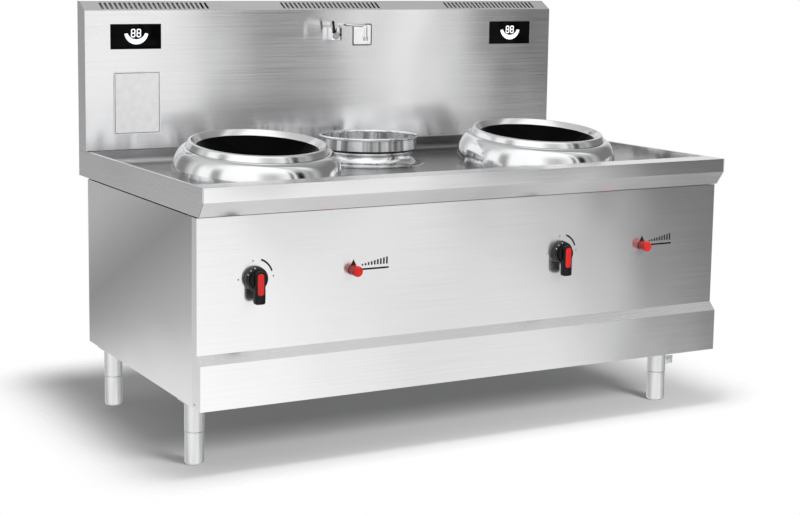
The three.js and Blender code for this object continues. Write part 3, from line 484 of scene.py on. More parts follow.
# ---------------------------------------------------------------------------
# Cabinet floor, side panels and back panel: brushed stainless sheet with its
# edges deburred, screwed to the frame. Button-head rivets hold the back.
def brushed_steel(name, along, tone, shine, drift=0.0, drawn=0.9, comb=0.00003, painted_shade=None):
    """Sheet with a fine straight grain and a face that isn't quite flat. The grain draws its highlights out.

    The painted shade is a broad tint over the sheet that stands in for light and shade: brightness by its place
    along x, y and z.
    """
    finish = Finish(name, (tone, tone, tone * 1.01), shine, 0.9)
    hair = finish.grain(tuple(3.0 if axis == along else 420.0 for axis in "xyz"), 3.0)
    cloud = finish.grain(1.3, 2.0, (drift, 0.0, drift))
    shade = (hair * 0.5 + cloud * 0.5).eased(0.3, 0.7)
    dark = (tone * 0.94, tone * 0.94, tone * 0.945)
    light = (tone * 1.04, tone * 1.04, tone * 1.05)
    colour = finish.mixed(shade, dark, light)
    # Painted shade: the sheet's colour is darkened by place, standing in for the light and shade that fall on it.
    if painted_shade:
        colour = finish.mixed(1.0, colour, painted_shade(*finish.split(finish.place)), "MULTIPLY")
    finish.set("Base Color", colour)
    finish.set("Roughness", shine + (hair - 0.5) * min(0.12, shine * 0.5) + (cloud - 0.5) * 0.06)
    finish.set("Anisotropic", drawn)
    finish.set("Anisotropic Rotation", 0.0 if along == "z" else 0.25)
    finish.relief(hair * comb + cloud * 0.006)
    return finish


def softened_node(node, width):
    """A copy of a CAD node with its edges broken, its large faces shaded flat and only its folds shaded round."""
    shape = bmesh.new()
    shape.from_mesh(cad_nodes[node].data)
    bmesh.ops.remove_doubles(shape, verts=shape.verts, dist=1e-5)
    bmesh.ops.dissolve_limit(
        shape, angle_limit=math.radians(0.6), verts=shape.verts, edges=shape.edges, use_dissolve_boundaries=False
    )
    sheet = new_object("sheet", meshed(softened(shape, width), 46.0))
    weighing = sheet.modifiers.new("by_area", "WEIGHTED_NORMAL")
    weighing.keep_sharp = True
    weighing.weight = 100
    return evaluated(sheet)


def evaluated(worked):
    """The plain mesh of an object with its modifiers. The object itself goes."""
    mesh = bpy.data.meshes.new_from_object(worked.evaluated_get(bpy.context.evaluated_depsgraph_get()))
    worked.modifiers.clear()
    bpy.data.objects.remove(worked)
    return mesh


def side_painted_band(east, north, up):
    """Painted shade: a darker band that runs down the side from its front to its back, standing in for a dark
    reflection there.
    """
    off_band = (up + north * 0.466 - 0.537).unsigned()
    return 0.59 + off_band.eased(-0.05, 0.33) * 0.48


# The side sheets carry a painted shade band in their colour.
side_steel = brushed_steel("side_sheet", "z", 0.9, 0.2, 3.1, painted_shade=side_painted_band)
for word in ("left", "right"):
    piece(f"side_sheet_{word}", softened_node(f"side_panel_{word}", 0.0006), side_steel, f"side_panel_{word}")
back_steel = brushed_steel("back_sheet", "x", 0.7, 0.36, 7.4)
piece("back_sheet", softened_node("back_panel", 0.0006), back_steel, "back_panel")
piece("floor_sheet", softened_node("floor_panel", 0.0006), mill_steel("floor_sheet"), "floor_panel")


class Growth(Tree):
    """A node tree that grows a mesh from named sizes and a finish."""

    def __init__(self, name, *labels, counts=()):
        super().__init__(bpy.data.node_groups.new(name, "GeometryNodeTree"))
        for label in (*labels, "Finish"):
            kind = "Material" if label == "Finish" else "Int" if label in counts else "Float"
            self.tree.interface.new_socket(label, in_out="INPUT", socket_type=f"NodeSocket{kind}")
        self.tree.interface.new_socket("Geometry", in_out="OUTPUT", socket_type="NodeSocketGeometry")
        inputs = self.node("NodeGroupInput").socket.node.outputs
        self.given = [Tone(self, socket) for socket in inputs[: len(labels) + 1]]

    def closes(self, geometry):
        """Makes real what has grown, and gives it the finish."""
        real = self.node("GeometryNodeRealizeInstances", None, {"Geometry": geometry})
        done = self.node("GeometryNodeSetMaterial", None, {"Geometry": real, "Material": self.given[-1]})
        self.node("NodeGroupOutput", None, {0: done})

    def grown(self, name, finish, **sizes):
        """The plain mesh that the tree grows with the given sizes."""
        seed = new_object(name, bpy.data.meshes.new(name))
        modifier = seed.modifiers.new(name, "NODES")
        modifier.node_group = self.tree
        sockets = {item.name: item.identifier for item in self.tree.interface.items_tree if item.in_out == "INPUT"}
        for label, value in sizes.items():
            modifier[sockets[label.replace("_", " ").title()]] = value
        modifier[sockets["Finish"]] = finish.material
        bpy.context.view_layer.update()
        return evaluated(seed)


rivet_rows = Growth("rivet_rows", "Width", "Height", "Spacing", "Head Radius", "Head Height")
width, height, spacing, radius, rise, _ = rivet_rows.given
border = rivet_rows.node("GeometryNodeCurvePrimitiveQuadrilateral", None, {"Width": width, "Height": height})
places = rivet_rows.node("GeometryNodeResampleCurve", {"mode": "LENGTH"}, {"Curve": border, "Length": spacing})
button = {"Vertices": 12, "Radius Top": radius * 0.62, "Radius Bottom": radius, "Depth": rise}
head = rivet_rows.node("GeometryNodeMeshCone", None, button, "Mesh")
rivet_rows.closes(rivet_rows.node("GeometryNodeInstanceOnPoints", None, {"Points": places, "Instance": head}))

rivet_steel = polished_steel("rivet_steel", (0.0, 0.0), 0.16)
for name, node, inset, sunk in (
    ("back_sheet_rivets", "back_panel", 0.016, 0.0001),
    ("rear_cover_rivets", "splashback_rear_cover", 0.014, 0.0012),
):
    low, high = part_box(node)
    across, tall = (high[axis] - low[axis] - 2 * inset for axis in (0, 2))
    rivets = rivet_rows.grown(
        name, rivet_steel, width=across, height=tall, spacing=0.148, head_radius=0.004, head_height=0.0012
    )
    middle = ((low[0] + high[0]) / 2, high[1] - sunk, (low[2] + high[2]) / 2)
    rivets.transform(Matrix.Translation(middle) @ Matrix.Rotation(-math.pi / 2, 4, "X"))
    piece(name, rivets, rivet_steel)

# ---------------------------------------------------------------------------
# Power modules and fans: folded casings on the cabinet's floor that drive the
# coils. Each has a cooling fan in its front. They are hidden in use.
module_paint = Finish("module_paint", (0.16, 0.165, 0.17), 0.6)
speckle = module_paint.grain(900.0, 1.0)
module_paint.set("Base Color", module_paint.mixed(speckle, (0.13, 0.135, 0.14), (0.2, 0.205, 0.21)))
module_paint.relief(speckle * 0.00004)
fan_plastic = Finish("fan_plastic", (0.02, 0.02, 0.022), 0.5)
fan_plastic.set("Roughness", 0.42 + fan_plastic.grain(120.0) * 0.2)
for word in ("left", "right"):
    dressed(f"power_module_{word}", module_paint)
    dressed(f"fan_rotor_{word}", fan_plastic)


# ---------------------------------------------------------------------------
# Front fascia: one folded brushed sheet with an upright face, a short slope and
# a skirt, and returns at both ends. It has a hole and a slot for each station.
def on_folds(mesh, upright, level, sunken=None):
    """Gives a folded sheet's upright faces one finish, its flat and sloping faces another, and a sunken deck
    with its rear ledge a third."""
    deck_low, deck_high, ledge_front = 0.755, 0.8, 0.43
    mesh.materials.clear()
    for finish in (upright, level, sunken or level):
        mesh.materials.append(finish.material)
    for face in mesh.polygons:
        _, y, z = face.center
        flat = abs(face.normal.z) > 0.3
        deck = flat and deck_low < z < deck_high
        ledge = y > ledge_front and z > deck_low
        face.material_index = 2 if sunken and (deck or ledge) else int(flat)
    return mesh


face_y = -0.4835
fascia_steel = brushed_steel("fascia_sheet", "x", 0.9, 0.18, 1.3)
fascia_slope_steel = brushed_steel("fascia_slope", "x", 0.86, 0.26, 1.3, 0.0)
fascia = on_folds(softened_node("front_fascia", 0.0008), fascia_steel, fascia_slope_steel)
piece("fascia_sheet", fascia, fascia_steel, "front_fascia")

# ---------------------------------------------------------------------------
# Printed marks beside the controls: black screen print on the fascia. Each slide
# has a start mark and a scale of growing bars, each switch three dots and an arc.
bar_scale = Growth(
    "bar_scale", "Count", "Pitch", "Bar Width", "First Height", "Growth", "Ink Thickness", counts=["Count"]
)
count, pitch, width, first, growth, thickness, _ = bar_scale.given
places = bar_scale.node("GeometryNodeMeshLine", None, {"Count": count, "Offset": bar_scale.joined(pitch)})
bar = bar_scale.node("GeometryNodeMeshCube", None, {"Size": bar_scale.joined(width, thickness, 1.0)}, "Mesh")
lifted = bar_scale.node("GeometryNodeTransform", None, {"Geometry": bar, "Translation": (0.0, 0.0, 0.5)})
taller = bar_scale.joined(1.0, 1.0, first + bar_scale.node("GeometryNodeInputIndex") * growth)
bars = {"Points": places, "Instance": lifted, "Scale": taller}
bar_scale.closes(bar_scale.node("GeometryNodeInstanceOnPoints", None, bars))


def loft(sections, caps=True):
    """A body through several outlines, each a list of points."""
    shape = bmesh.new()
    loops = [[shape.verts.new(point) for point in section] for section in sections]
    for lower, upper in zip(loops, loops[1:]):
        for i in range(len(lower)):
            j = (i + 1) % len(lower)
            shape.faces.new((lower[i], lower[j], upper[j], upper[i]))
    if caps:
        shape.faces.new(loops[0])
        shape.faces.new(list(reversed(loops[-1])))
    return shape


def slab(outline, front, back):
    """A flat outline in (x, z) given a thickness along y."""
    return loft([[(u, y, v) for u, v in outline] for y in (front, back)])


def print_ink(name, colour, dullness=0.5):
    """Dull screen print."""
    finish = Finish(name, colour, dullness)
    finish.set("Roughness", dullness + finish.grain(700.0) * 0.15)
    return finish


station_x = {"left": -0.515, "right": 0.515}
slide_offset, switch_offset = 0.1, -0.21
control_z = 0.544
ink_rise = 0.00025
ink = print_ink("screen_print", (0.01, 0.01, 0.011))
grey_ink = print_ink("grey_print", (0.3, 0.3, 0.31))


def printed(outline):
    """A mark printed on the fascia."""
    return slab(outline, face_y - ink_rise, face_y)


for word, x in station_x.items():
    slide_x, switch_x = x + slide_offset, x + switch_offset
    bars = bar_scale.grown(
        f"bar_scale_{word}", ink, count=9, pitch=0.01003, bar_width=0.0054, first_height=0.0045, growth=0.00203,
        ink_thickness=2 * ink_rise,
    )
    bars.transform(Matrix.Translation((slide_x + 0.0294, face_y, 0.5547)))
    piece(f"bar_scale_{word}", bars, ink)
    mark = printed([(slide_x - 0.0095, 0.5575), (slide_x + 0.0095, 0.5575), (slide_x, 0.5755)])
    piece(f"start_mark_{word}", meshed(mark), ink)
    sweep = arc((switch_x, control_z), 0.0577, 70, 19, 14) + arc((switch_x, control_z), 0.0524, 19, 70, 14)
    piece(f"switch_arc_{word}", meshed(printed(sweep)), ink)
    dots = [
        printed(arc((switch_x + right, control_z + up), 0.0026, 0, 330, 11))
        for right, up in ((-0.05, 0.0), (-0.006, 0.05), (0.057, 0.003))
    ]
    piece(f"switch_dots_{word}", meshed(together(*dots)), grey_ink)


# ---------------------------------------------------------------------------
# Rotary switches: a round moulded collar fixed to the fascia, and a moulded
# lever handle with a red insert. The collar's bevel has short white marks at its upper left, painted highlights.
def moulded(name, colour, shine, gleam=0.4):
    """Moulded plastic with a fine texture."""
    finish = Finish(name, colour, shine)
    fine = finish.grain(1400.0, 1.0)
    broad = finish.grain(40.0)
    lighter = tuple(channel * 1.12 + 0.001 for channel in colour)
    darker = tuple(channel * 0.9 for channel in colour)
    finish.set("Base Color", finish.mixed(broad, darker, lighter))
    finish.set("Roughness", shine + (fine - 0.5) * 0.12)
    finish.set("Specular IOR Level", gleam)
    finish.relief(fine * 0.00001)
    return finish


def rounded(outline, radius, steps=3):
    """A closed outline with its corners rounded; radius is one number or one for each corner."""
    points = []
    for i, corner in enumerate(outline):
        reach = radius[i] if isinstance(radius, list) else radius
        here = Vector(corner)
        before = Vector(outline[i - 1]) - here
        after = Vector(outline[(i + 1) % len(outline)]) - here
        turn = before.angle(after)
        if reach <= 0.0 or turn > math.radians(176.0):
            points.append(tuple(here))
            continue
        cut = min(reach / math.tan(turn / 2), before.length * 0.49, after.length * 0.49)
        first = here + before.normalized() * cut
        last = here + after.normalized() * cut
        for t in [step / steps for step in range(steps + 1)]:
            points.append(tuple(first.lerp(here, t).lerp(here.lerp(last, t), t)))
    return points


def boxed(left, right, low, high):
    """A rectangle's corners."""
    return [(left, low), (right, low), (right, high), (left, high)]


def lever_outline(width, up, down, toe):
    """A lever seen from the front: a round head and a foot with rounded corners."""
    half = width / 2
    head = arc((0.0, up - half), half, 0, 180, 12)
    heel_left = arc((toe - half, toe - down), toe, 180, 270, 4)
    heel_right = arc((half - toe, toe - down), toe, 270, 360, 4)
    return [*head, *heel_left, *heel_right]


def raised(centre, steps, outline):
    """A body that stands off the fascia. Its outline shrinks with its depth, by steps of (depth, shrink)."""
    return loft(
        [[(centre.x + u, centre.y - depth, centre.z + v) for u, v in outline(shrink)] for depth, shrink in steps]
    )


black_moulding = moulded("black_moulding", (0.004, 0.0042, 0.0045), 0.3, 0.22)
collar_moulding = moulded("collar_moulding", (0.006, 0.0065, 0.007), 0.18, 0.4)
red_moulding = moulded("red_moulding", (0.75, 0.022, 0.02), 0.25, 0.35)
white_mark = moulded("white_mark", (0.85, 0.85, 0.85), 0.4)
for word, x in station_x.items():
    switch = Vector((x + switch_offset, face_y, control_z))
    collar = turned(
        [
            (0.0, 0.0004), (0.0347, 0.0004), (0.0355, 0.0012), (0.0355, 0.004), (0.0346, 0.005), (0.0341, 0.0145),
            *arc((0.0323, 0.0147), 0.0018, 5, 55, 4), (0.0303, 0.0206), *arc((0.0291, 0.0205), 0.0015, 45, 90, 3),
            (0.0, 0.022),
        ],
        switch,
        "y",
    )
    piece(f"collar_{word}", meshed(collar), collar_moulding, f"switch_collar_{word}")
    # Painted highlights: three small white marks on the collar's bevel at its upper left.
    marks = []
    for angle in (104, 128, 152):
        spoke = math.radians(angle)
        mark = slab(rounded(boxed(-0.0013, 0.0013, -0.0026, 0.0026), 0.0009), -0.0002, 0.0006)
        tilt = Matrix.Rotation(-(spoke - math.pi / 2), 4, "Y") @ Matrix.Rotation(math.radians(-28), 4, "X")
        reach = Vector((math.cos(spoke) * 0.0318, -0.0184, math.sin(spoke) * 0.0318))
        marks.append(moved(mark, Matrix.Translation(switch + reach) @ tilt))
    piece(f"collar_painted_highlights_{word}", meshed(together(*marks)), white_mark)

    grip = raised(
        switch,
        ((0.0235, 0.0), (0.034, 0.0), (0.0385, 0.0006), (0.0402, 0.0016), (0.041, 0.0032)),
        lambda shrink: lever_outline(0.031 - 2 * shrink, 0.026 - shrink, 0.068 - shrink, 0.007 - shrink / 2),
    )
    hub = [
        (0.0, 0.023), (0.026, 0.023), (0.0265, 0.0236), (0.0265, 0.0278), (0.025, 0.03), (0.019, 0.0308),
        (0.0, 0.031),
    ]
    shaft = [(0.0, -0.028), (0.006, -0.028), (0.006, 0.024), (0.0, 0.024)]
    handle = together(grip, turned(hub, switch, "y", 64), turned(shaft, switch, "y", 24))
    piece(f"handle_{word}", meshed(handle), black_moulding, f"switch_handle_{word}", body=f"switch_{word}")

    insert = raised(
        switch,
        ((0.0385, 0.0), (0.0409, 0.0), (0.0413, 0.0006), (0.0415, 0.0016)),
        lambda shrink: rounded(
            boxed(shrink - 0.01, 0.01 - shrink, shrink - 0.0418, 0.0198 - shrink), 0.0096 - shrink, 8
        ),
    )
    piece(f"red_insert_{word}", meshed(insert), red_moulding, f"switch_insert_{word}", body=f"switch_{word}")
    dressed(f"switch_block_{word}", module_paint)

# ---------------------------------------------------------------------------
# Slide controls: a red moulded knob that runs along a slot in the fascia. Its
# carriage slides on a ground rod behind the sheet.
for word, x in station_x.items():
    knob = turned(
        [
            (0.0, 0.0022), (0.0138, 0.0022), *arc((0.0138, 0.0038), 0.0016, -70, 0, 4), (0.0155, 0.006),
            (0.0155, 0.0285), *arc((0.0125, 0.0285), 0.003, 0, 72, 6), (0.0105, 0.0322), (0.0095, 0.0316),
            (0.0, 0.0316),
        ],
        (x + slide_offset, face_y, control_z),
        "y",
        64,
    )
    piece(f"red_knob_{word}", meshed(knob), red_moulding, f"slide_knob_{word}", body=f"slide_{word}")
    dressed(f"slide_carriage_{word}", fan_plastic)
    dressed(f"slide_rail_{word}", frame_steel)


# ---------------------------------------------------------------------------
# Worktop: a heavy brushed sheet folded into a front beam, a sunken deck with
# coved edges and a rear upstand. A plate is welded on at each end.
def deck_painted_shade(east, north, up):
    """Painted shade: the deck is darker right of the middle, and a little lighter again towards its right end."""
    return 1.0 - east.eased(-0.5, 0.15) * 0.58 + east.eased(0.45, 0.8) * 0.2


apron_steel = brushed_steel("worktop_apron", "x", 0.92, 0.12, 5.2, 0.6, 0.00001)
rim_steel = brushed_steel("worktop_rim", "x", 0.9, 0.2, 5.2, 0.0)
# The sunken deck's dark tone, 0.44 against the apron's 0.92, is painted shade, and so is its darker right half.
deck_shaded_steel = brushed_steel("worktop_deck", "x", 0.44, 0.22, 5.2, 0.0, painted_shade=deck_painted_shade)
tray = on_folds(softened_node("worktop_tray", 0.0012), apron_steel, rim_steel, deck_shaded_steel)
piece("worktop_sheet", tray, apron_steel, "worktop_tray")
# Painted shade: the end plates' top faces get a darker copy of the steel, so that their top edge doesn't show
# bright.
end_top_painted_shade = brushed_steel("end_sheet_top", "y", 0.6, 0.3, 2.2, 0.0)
for word in ("left", "right"):
    end_steel = brushed_steel(f"end_sheet_{word}", "y", 0.84, 0.26, comb=0.00001)
    plate = on_folds(softened_node(f"end_plate_{word}", 0.0008), end_steel, end_top_painted_shade)
    piece(f"end_sheet_{word}", plate, end_steel, f"end_plate_{word}")

# ---------------------------------------------------------------------------
# Wok domes: spun stainless rings that stand level on the deck and lean towards
# the cook at the top. A node tree turns the rule of the profile into the shell.
leaning_dome = Growth(
    "leaning_dome", "Base Radius", "Top Radius", "Dome Height", "Lean", "Wall", "Steps Around", "Steps Up",
    counts=["Steps Around", "Steps Up"],
)
base, top, rise, tilt, wall, around_steps, up_steps, _ = leaning_dome.given
grow = leaning_dome.node
flat_sheet = {"Size X": math.tau, "Size Y": math.pi / 2, "Vertices X": around_steps, "Vertices Y": up_steps}
sheet = grow("GeometryNodeMeshGrid", None, flat_sheet, "Mesh")
across, along, _ = leaning_dome.split(grow("GeometryNodeInputPosition"))
along = along + math.pi / 4
radius = top + (base - top) * along.cosine()
height = rise * along.sine()
leaning = tilt * (height / rise)
flat_x = radius * across.cosine()
flat_y = radius * across.sine()
spot = leaning_dome.joined(
    flat_x,
    flat_y * leaning.cosine() - height * leaning.sine(),
    flat_y * leaning.sine() + height * leaning.cosine(),
)
skin = grow("GeometryNodeSetPosition", None, {"Geometry": sheet, "Position": spot})
closed = grow("GeometryNodeMergeByDistance", None, {"Geometry": skin, "Distance": 1e-5})
thicker = {"Mesh": closed, "Offset Scale": wall, "Individual": False}
walled = grow("GeometryNodeExtrudeMesh", {"mode": "FACES"}, thicker, "Mesh")
inner = grow("GeometryNodeFlipFaces", None, {"Mesh": closed})
shell = grow("GeometryNodeJoinGeometry", None, {0: [inner, walled]})
leaning_dome.closes(grow("GeometryNodeMergeByDistance", None, {"Geometry": shell, "Distance": 1e-5}))

station_y = -0.033
deck_z = 0.7644
lean = math.radians(5.8)


def leaning_at(x):
    """The place of a station's leaning parts."""
    return Matrix.Translation((x, station_y, deck_z)) @ Matrix.Rotation(lean, 4, "X")


for word, x in station_x.items():
    dome_steel = polished_steel(f"dome_steel_{word}", (x, station_y), 0.1, 0.5)
    dome = leaning_dome.grown(
        f"dome_{word}", dome_steel, base_radius=0.264, top_radius=0.223, dome_height=0.09, lean=lean, wall=-0.0024,
        steps_around=145, steps_up=25,
    )
    dome.transform(Matrix.Translation((x, station_y, deck_z)))
    rim = [(0.208, 0.0876), (0.2225, 0.0876), (0.2232, 0.0886), (0.2225, 0.0899), (0.208, 0.0899)]
    whole = moved(turned(rim, steps=144), leaning_at(x))
    whole.from_mesh(dome)
    piece(f"dome_{word}", meshed(whole, 40.0), dome_steel, f"wok_dome_{word}")

# ---------------------------------------------------------------------------
# Wok collars: polished cones on top of the domes with a rolled rim. Their inner
# bevel runs down to the glass bowl's edge.
bowl_curve = 0.234
glass_thickness = 0.005
glass_edge = 0.094
bowl_opening = 0.185
bowl_centre = glass_edge + math.sqrt(bowl_curve**2 - bowl_opening**2)
seat_curve = bowl_curve + glass_thickness + 0.0008


def seat_height(radius):
    return bowl_centre - math.sqrt(seat_curve**2 - radius**2)


for word, x in station_x.items():
    corners = [
        (0.2218, 0.0904, 0.0008), (0.2158, 0.1052, 0.003), (0.2136, 0.1096, 0.0042), (0.2058, 0.1112, 0.0022),
        (0.1892, glass_edge, 0.002), (0.1892, seat_height(0.1892), 0.0006), (0.181, seat_height(0.181), 0.0006),
        (0.1833, seat_height(0.181) - 0.0023, 0.0006), (0.1915, seat_height(0.1892) - 0.001, 0.0006),
        (0.1915, glass_edge - 0.0023, 0.001), (0.2048, 0.1072, 0.001), (0.2115, 0.1072, 0.001),
        (0.2135, 0.1045, 0.001), (0.2195, 0.0904, 0.0006),
    ]
    section = rounded([(radius, height) for radius, height, _ in corners], [bend for _, _, bend in corners], 4)
    collar = moved(turned(section, steps=144), leaning_at(x))
    collar_steel = polished_steel(f"wok_collar_steel_{word}", (x, station_y - 0.0095), 0.16, 0.3)
    piece(f"rim_collar_{word}", meshed(collar, 40.0), collar_steel, f"wok_collar_{word}")

# ---------------------------------------------------------------------------
# Glass bowls: thick black glass ceramic, pressed to the wok's curve and ground
# along the edge. The coil in its pan hangs below.
bowl_glass = Finish("bowl_glass", (0.0015, 0.0015, 0.0018), 0.035)
smear = bowl_glass.grain(14.0, 3.0)
bowl_glass.set("Roughness", 0.02 + smear.eased(0.45, 0.75) * 0.05)
bowl_glass.set("Specular IOR Level", 0.012)
winding = Finish("coil_winding", (0.5, 0.2, 0.1), 0.35, 0.9)
turns = winding.grain(60.0, 1.0)
winding.set("Base Color", winding.mixed(turns, (0.42, 0.15, 0.07), (0.62, 0.27, 0.14)))


def dished(curve, opening):
    """The profile of a bowl from its middle out to its opening."""
    steps = 24
    angles = [math.asin(opening / curve) * i / steps for i in range(steps + 1)]
    return [(curve * math.sin(angle), bowl_centre - curve * math.cos(angle)) for angle in angles]


for word, x in station_x.items():
    inner = dished(bowl_curve, bowl_opening)
    outer = dished(bowl_curve + glass_thickness, 0.1884)
    edge = [(0.1886, glass_edge - 0.0012), (0.1878, glass_edge - 0.0002), (0.1862, glass_edge)]
    bowl = moved(turned([*outer, *edge, *reversed(inner)], steps=128), leaning_at(x))
    piece(f"glass_bowl_{word}", meshed(bowl, 50.0), bowl_glass, f"wok_bowl_{word}")
    dressed(f"coil_assembly_{word}", winding)

# ---------------------------------------------------------------------------
# Centre well: a polished band with a rolled lip on a waisted pedestal, and a
# drawn basin with a slotted strainer in its floor. A dark ring between the two is painted shadow under the band.
well_y = 0.19
well = (0.0, well_y, 0.0)
band_low, rim_z = 0.814, 0.858
lip_low = rim_z - 0.0095
# The band's outer and inner steel carry painted reflection streaks in their colour.
well_steel = polished_steel("well_steel", (0.0, well_y), 0.26, 0.95, 0.62)
well_lip = polished_steel("well_lip", (0.0, well_y), 0.08, 0.3)
well_inside = polished_steel("well_inside", (0.0, well_y), 0.24, 0.95, 0.6)
waist_steel = polished_steel("waist_steel", (0.0, well_y), 0.14, 0.5)
band = turned(
    [
        (0.143, band_low), (0.1585, band_low), (0.16, band_low + 0.0012), (0.1595, band_low + 0.012),
        (0.158, lip_low), *arc((0.161, rim_z - 0.005), 0.005, -70, 180, 14), (0.156, lip_low),
        (0.157, band_low + 0.0045), (0.1555, band_low + 0.003), (0.143, band_low + 0.003),
    ],
    well,
    steps=128,
)
rim_band = meshed(band, 40.0)
for finish in (well_steel, well_inside, well_lip):
    rim_band.materials.append(finish.material)
for face in rim_band.polygons:
    outward = face.normal.x * face.center.x + face.normal.y * (face.center.y - well_y)
    face.material_index = 2 if face.center.z > lip_low + 0.0001 else int(outward < -0.05)
piece("well_rim_band", rim_band, well_steel, "well_band")

quarter = [math.pi / 2 * i / 16 for i in range(17)]
flare = [(0.188 - 0.041 * math.sin(angle), 0.7949 - 0.0305 * math.cos(angle)) for angle in quarter]
pedestal = turned(
    [
        (0.143, deck_z), *flare, (0.1474, 0.8), (0.1486, 0.8045), (0.1504, 0.8068), (0.146, 0.8072),
        (0.146, 0.8136), (0.143, 0.8136),
    ],
    well,
    steps=128,
)
piece("well_waist", meshed(pedestal, 40.0), waist_steel, "well_pedestal")
# Painted shadow: a dark ring under the band, where the band's shadow falls on the pedestal.
shadow_ring = turned(
    [(0.1461, 0.8073), (0.1508, 0.8073), (0.1514, 0.808), (0.1514, 0.8128), (0.1508, 0.8136), (0.1461, 0.8136)],
    well,
    steps=96,
)
piece("well_seal", meshed(shadow_ring), moulded("well_seal", (0.02, 0.02, 0.021), 0.5))

basin_floor = 0.6594
drain_radius = 0.0182
basin = turned(
    [
        (0.018, 0.5994), (0.02, 0.5994), (0.02, basin_floor - 0.002),
        *arc((0.115, basin_floor + 0.022), 0.024, -90, 0, 8), (0.139, 0.8174), (0.156, 0.8174), (0.156, 0.8194),
        *arc((0.1395, 0.8169), 0.0025, 90, 180, 3), (0.137, 0.814),
        *arc((0.115, basin_floor + 0.022), 0.022, 0, -90, 8), (0.03, basin_floor), (0.0285, basin_floor - 0.0012),
        (0.018, basin_floor - 0.0012),
    ],
    well,
    steps=96,
)
strainer = []
for y in (well_y - 0.0085, well_y, well_y + 0.0085):
    low = (-drain_radius, y - 0.0016, basin_floor - 0.008)
    strainer.append(block(low, (drain_radius, y + 0.0016, basin_floor - 0.004), 0.0006))
low = (-0.0016, well_y - drain_radius, basin_floor - 0.0082)
strainer.append(block(low, (0.0016, well_y + drain_radius, basin_floor - 0.0042), 0.0006))
piece("drawn_basin", meshed(together(basin, *strainer), 40.0), well_inside, "well_basin")

# ---------------------------------------------------------------------------
# Splashback: one folded brushed sheet with a slotted slope along its top, closed
# behind by a riveted cover. The supply pipe runs down inside it.
splash_steel = brushed_steel("splashback_sheet", "x", 0.86, 0.14, 9.7, 0.85, 0.000003)
splash_slope_steel = brushed_steel("splashback_slope", "x", 0.78, 0.24, 9.7, 0.0)
splashback = on_folds(softened_node("splashback_shell", 0.0007), splash_steel, splash_slope_steel)
# The inside, which the slots look in on, has the slope's plain finish too.
inside_half, inside_front, inside_top = 0.8985, 0.4525, 1.2935
slope_foot = Vector((0.451, 1.265))
slope_up = Vector((-0.5145, 0.8575))
sheet_thickness = 0.0015
for face in splashback.polygons:
    x, y, z = face.center
    rise = (Vector((y, z)) - slope_foot).dot(slope_up)
    if abs(x) < inside_half and y > inside_front and z < inside_top and rise < -sheet_thickness:
        face.material_index = 1
piece("splashback_sheet", splashback, splash_steel, "splashback_shell")
# Painted shade: a dark grey bead along the splashback's foot, where shade falls in the joint with the ledge.
shade_bead = block((-0.8975, 0.4484, 0.8102), (0.8975, 0.4513, 0.8128), 0.0006)
piece("foot_bead", meshed(shade_bead), moulded("foot_bead", (0.16, 0.16, 0.165), 0.5))
cover = softened_node("splashback_rear_cover", 0.0004)
# The cover's outer face is set in, so that its rivets stay within the range's depth.
cover_outside, set_in = 0.5241, 0.001
for vertex in cover.vertices:
    if vertex.co.y > cover_outside:
        vertex.co.y -= set_in
piece("rear_cover", cover, back_steel, "splashback_rear_cover")

pipe_x, pipe_y = -0.006, 0.489
pipe_thread = [(0.0079 if i % 2 else 0.0071, 0.665 + i * 0.0014) for i in range(14)]
pipe = turned(
    [
        (0.0, 0.663), (0.0072, 0.663), (0.0076, 0.6636), *pipe_thread, (0.0078, 0.685), (0.0078, 1.19),
        (0.007, 1.193), (0.0, 1.193),
    ],
    (pipe_x, pipe_y, 0.0),
    steps=32,
)
piece("water_pipe", meshed(pipe), polished_steel("pipe_steel", (pipe_x, pipe_y), 0.2), "supply_pipe")

# ---------------------------------------------------------------------------
# Displays: black glass windows set in the splashback over each station. Lit
# figures and a curved gauge of short segments shine through from the module.
window_glass = Finish("window_glass", (0.002, 0.002, 0.0022), 0.06)
window_glass.set("Roughness", 0.04 + window_glass.grain(30.0) * 0.04)
window_glass.set("Specular IOR Level", 0.05)
lit = Finish("lit_segments", (0.75, 0.76, 0.78), 0.4)
lit.set("Emission Color", (0.9, 0.93, 1.0, 1.0))
lit.set("Emission Strength", 0.55)
display_face = 0.450
figure_width, figure_height, slant, stroke = 0.0118, 0.0238, 0.0008, 0.0036
gauge_radius, gauge_from, gauge_to, gauge_count = 0.042, 190.0, 350.0, 12


def lit_segment(outline):
    return slab(outline, display_face - 0.0002, display_face + 0.0002)


def bar_between(start, end):
    """A segment between two points in (x, z), with pointed ends."""
    a, b = Vector(start), Vector(end)
    along = (b - a).normalized()
    side = Vector((-along.y, along.x)) * stroke / 2
    tip = along * stroke / 2
    corners = (a, a + tip + side, b - tip + side, b, b - tip - side, a + tip - side)
    return lit_segment([tuple(corner) for corner in corners])


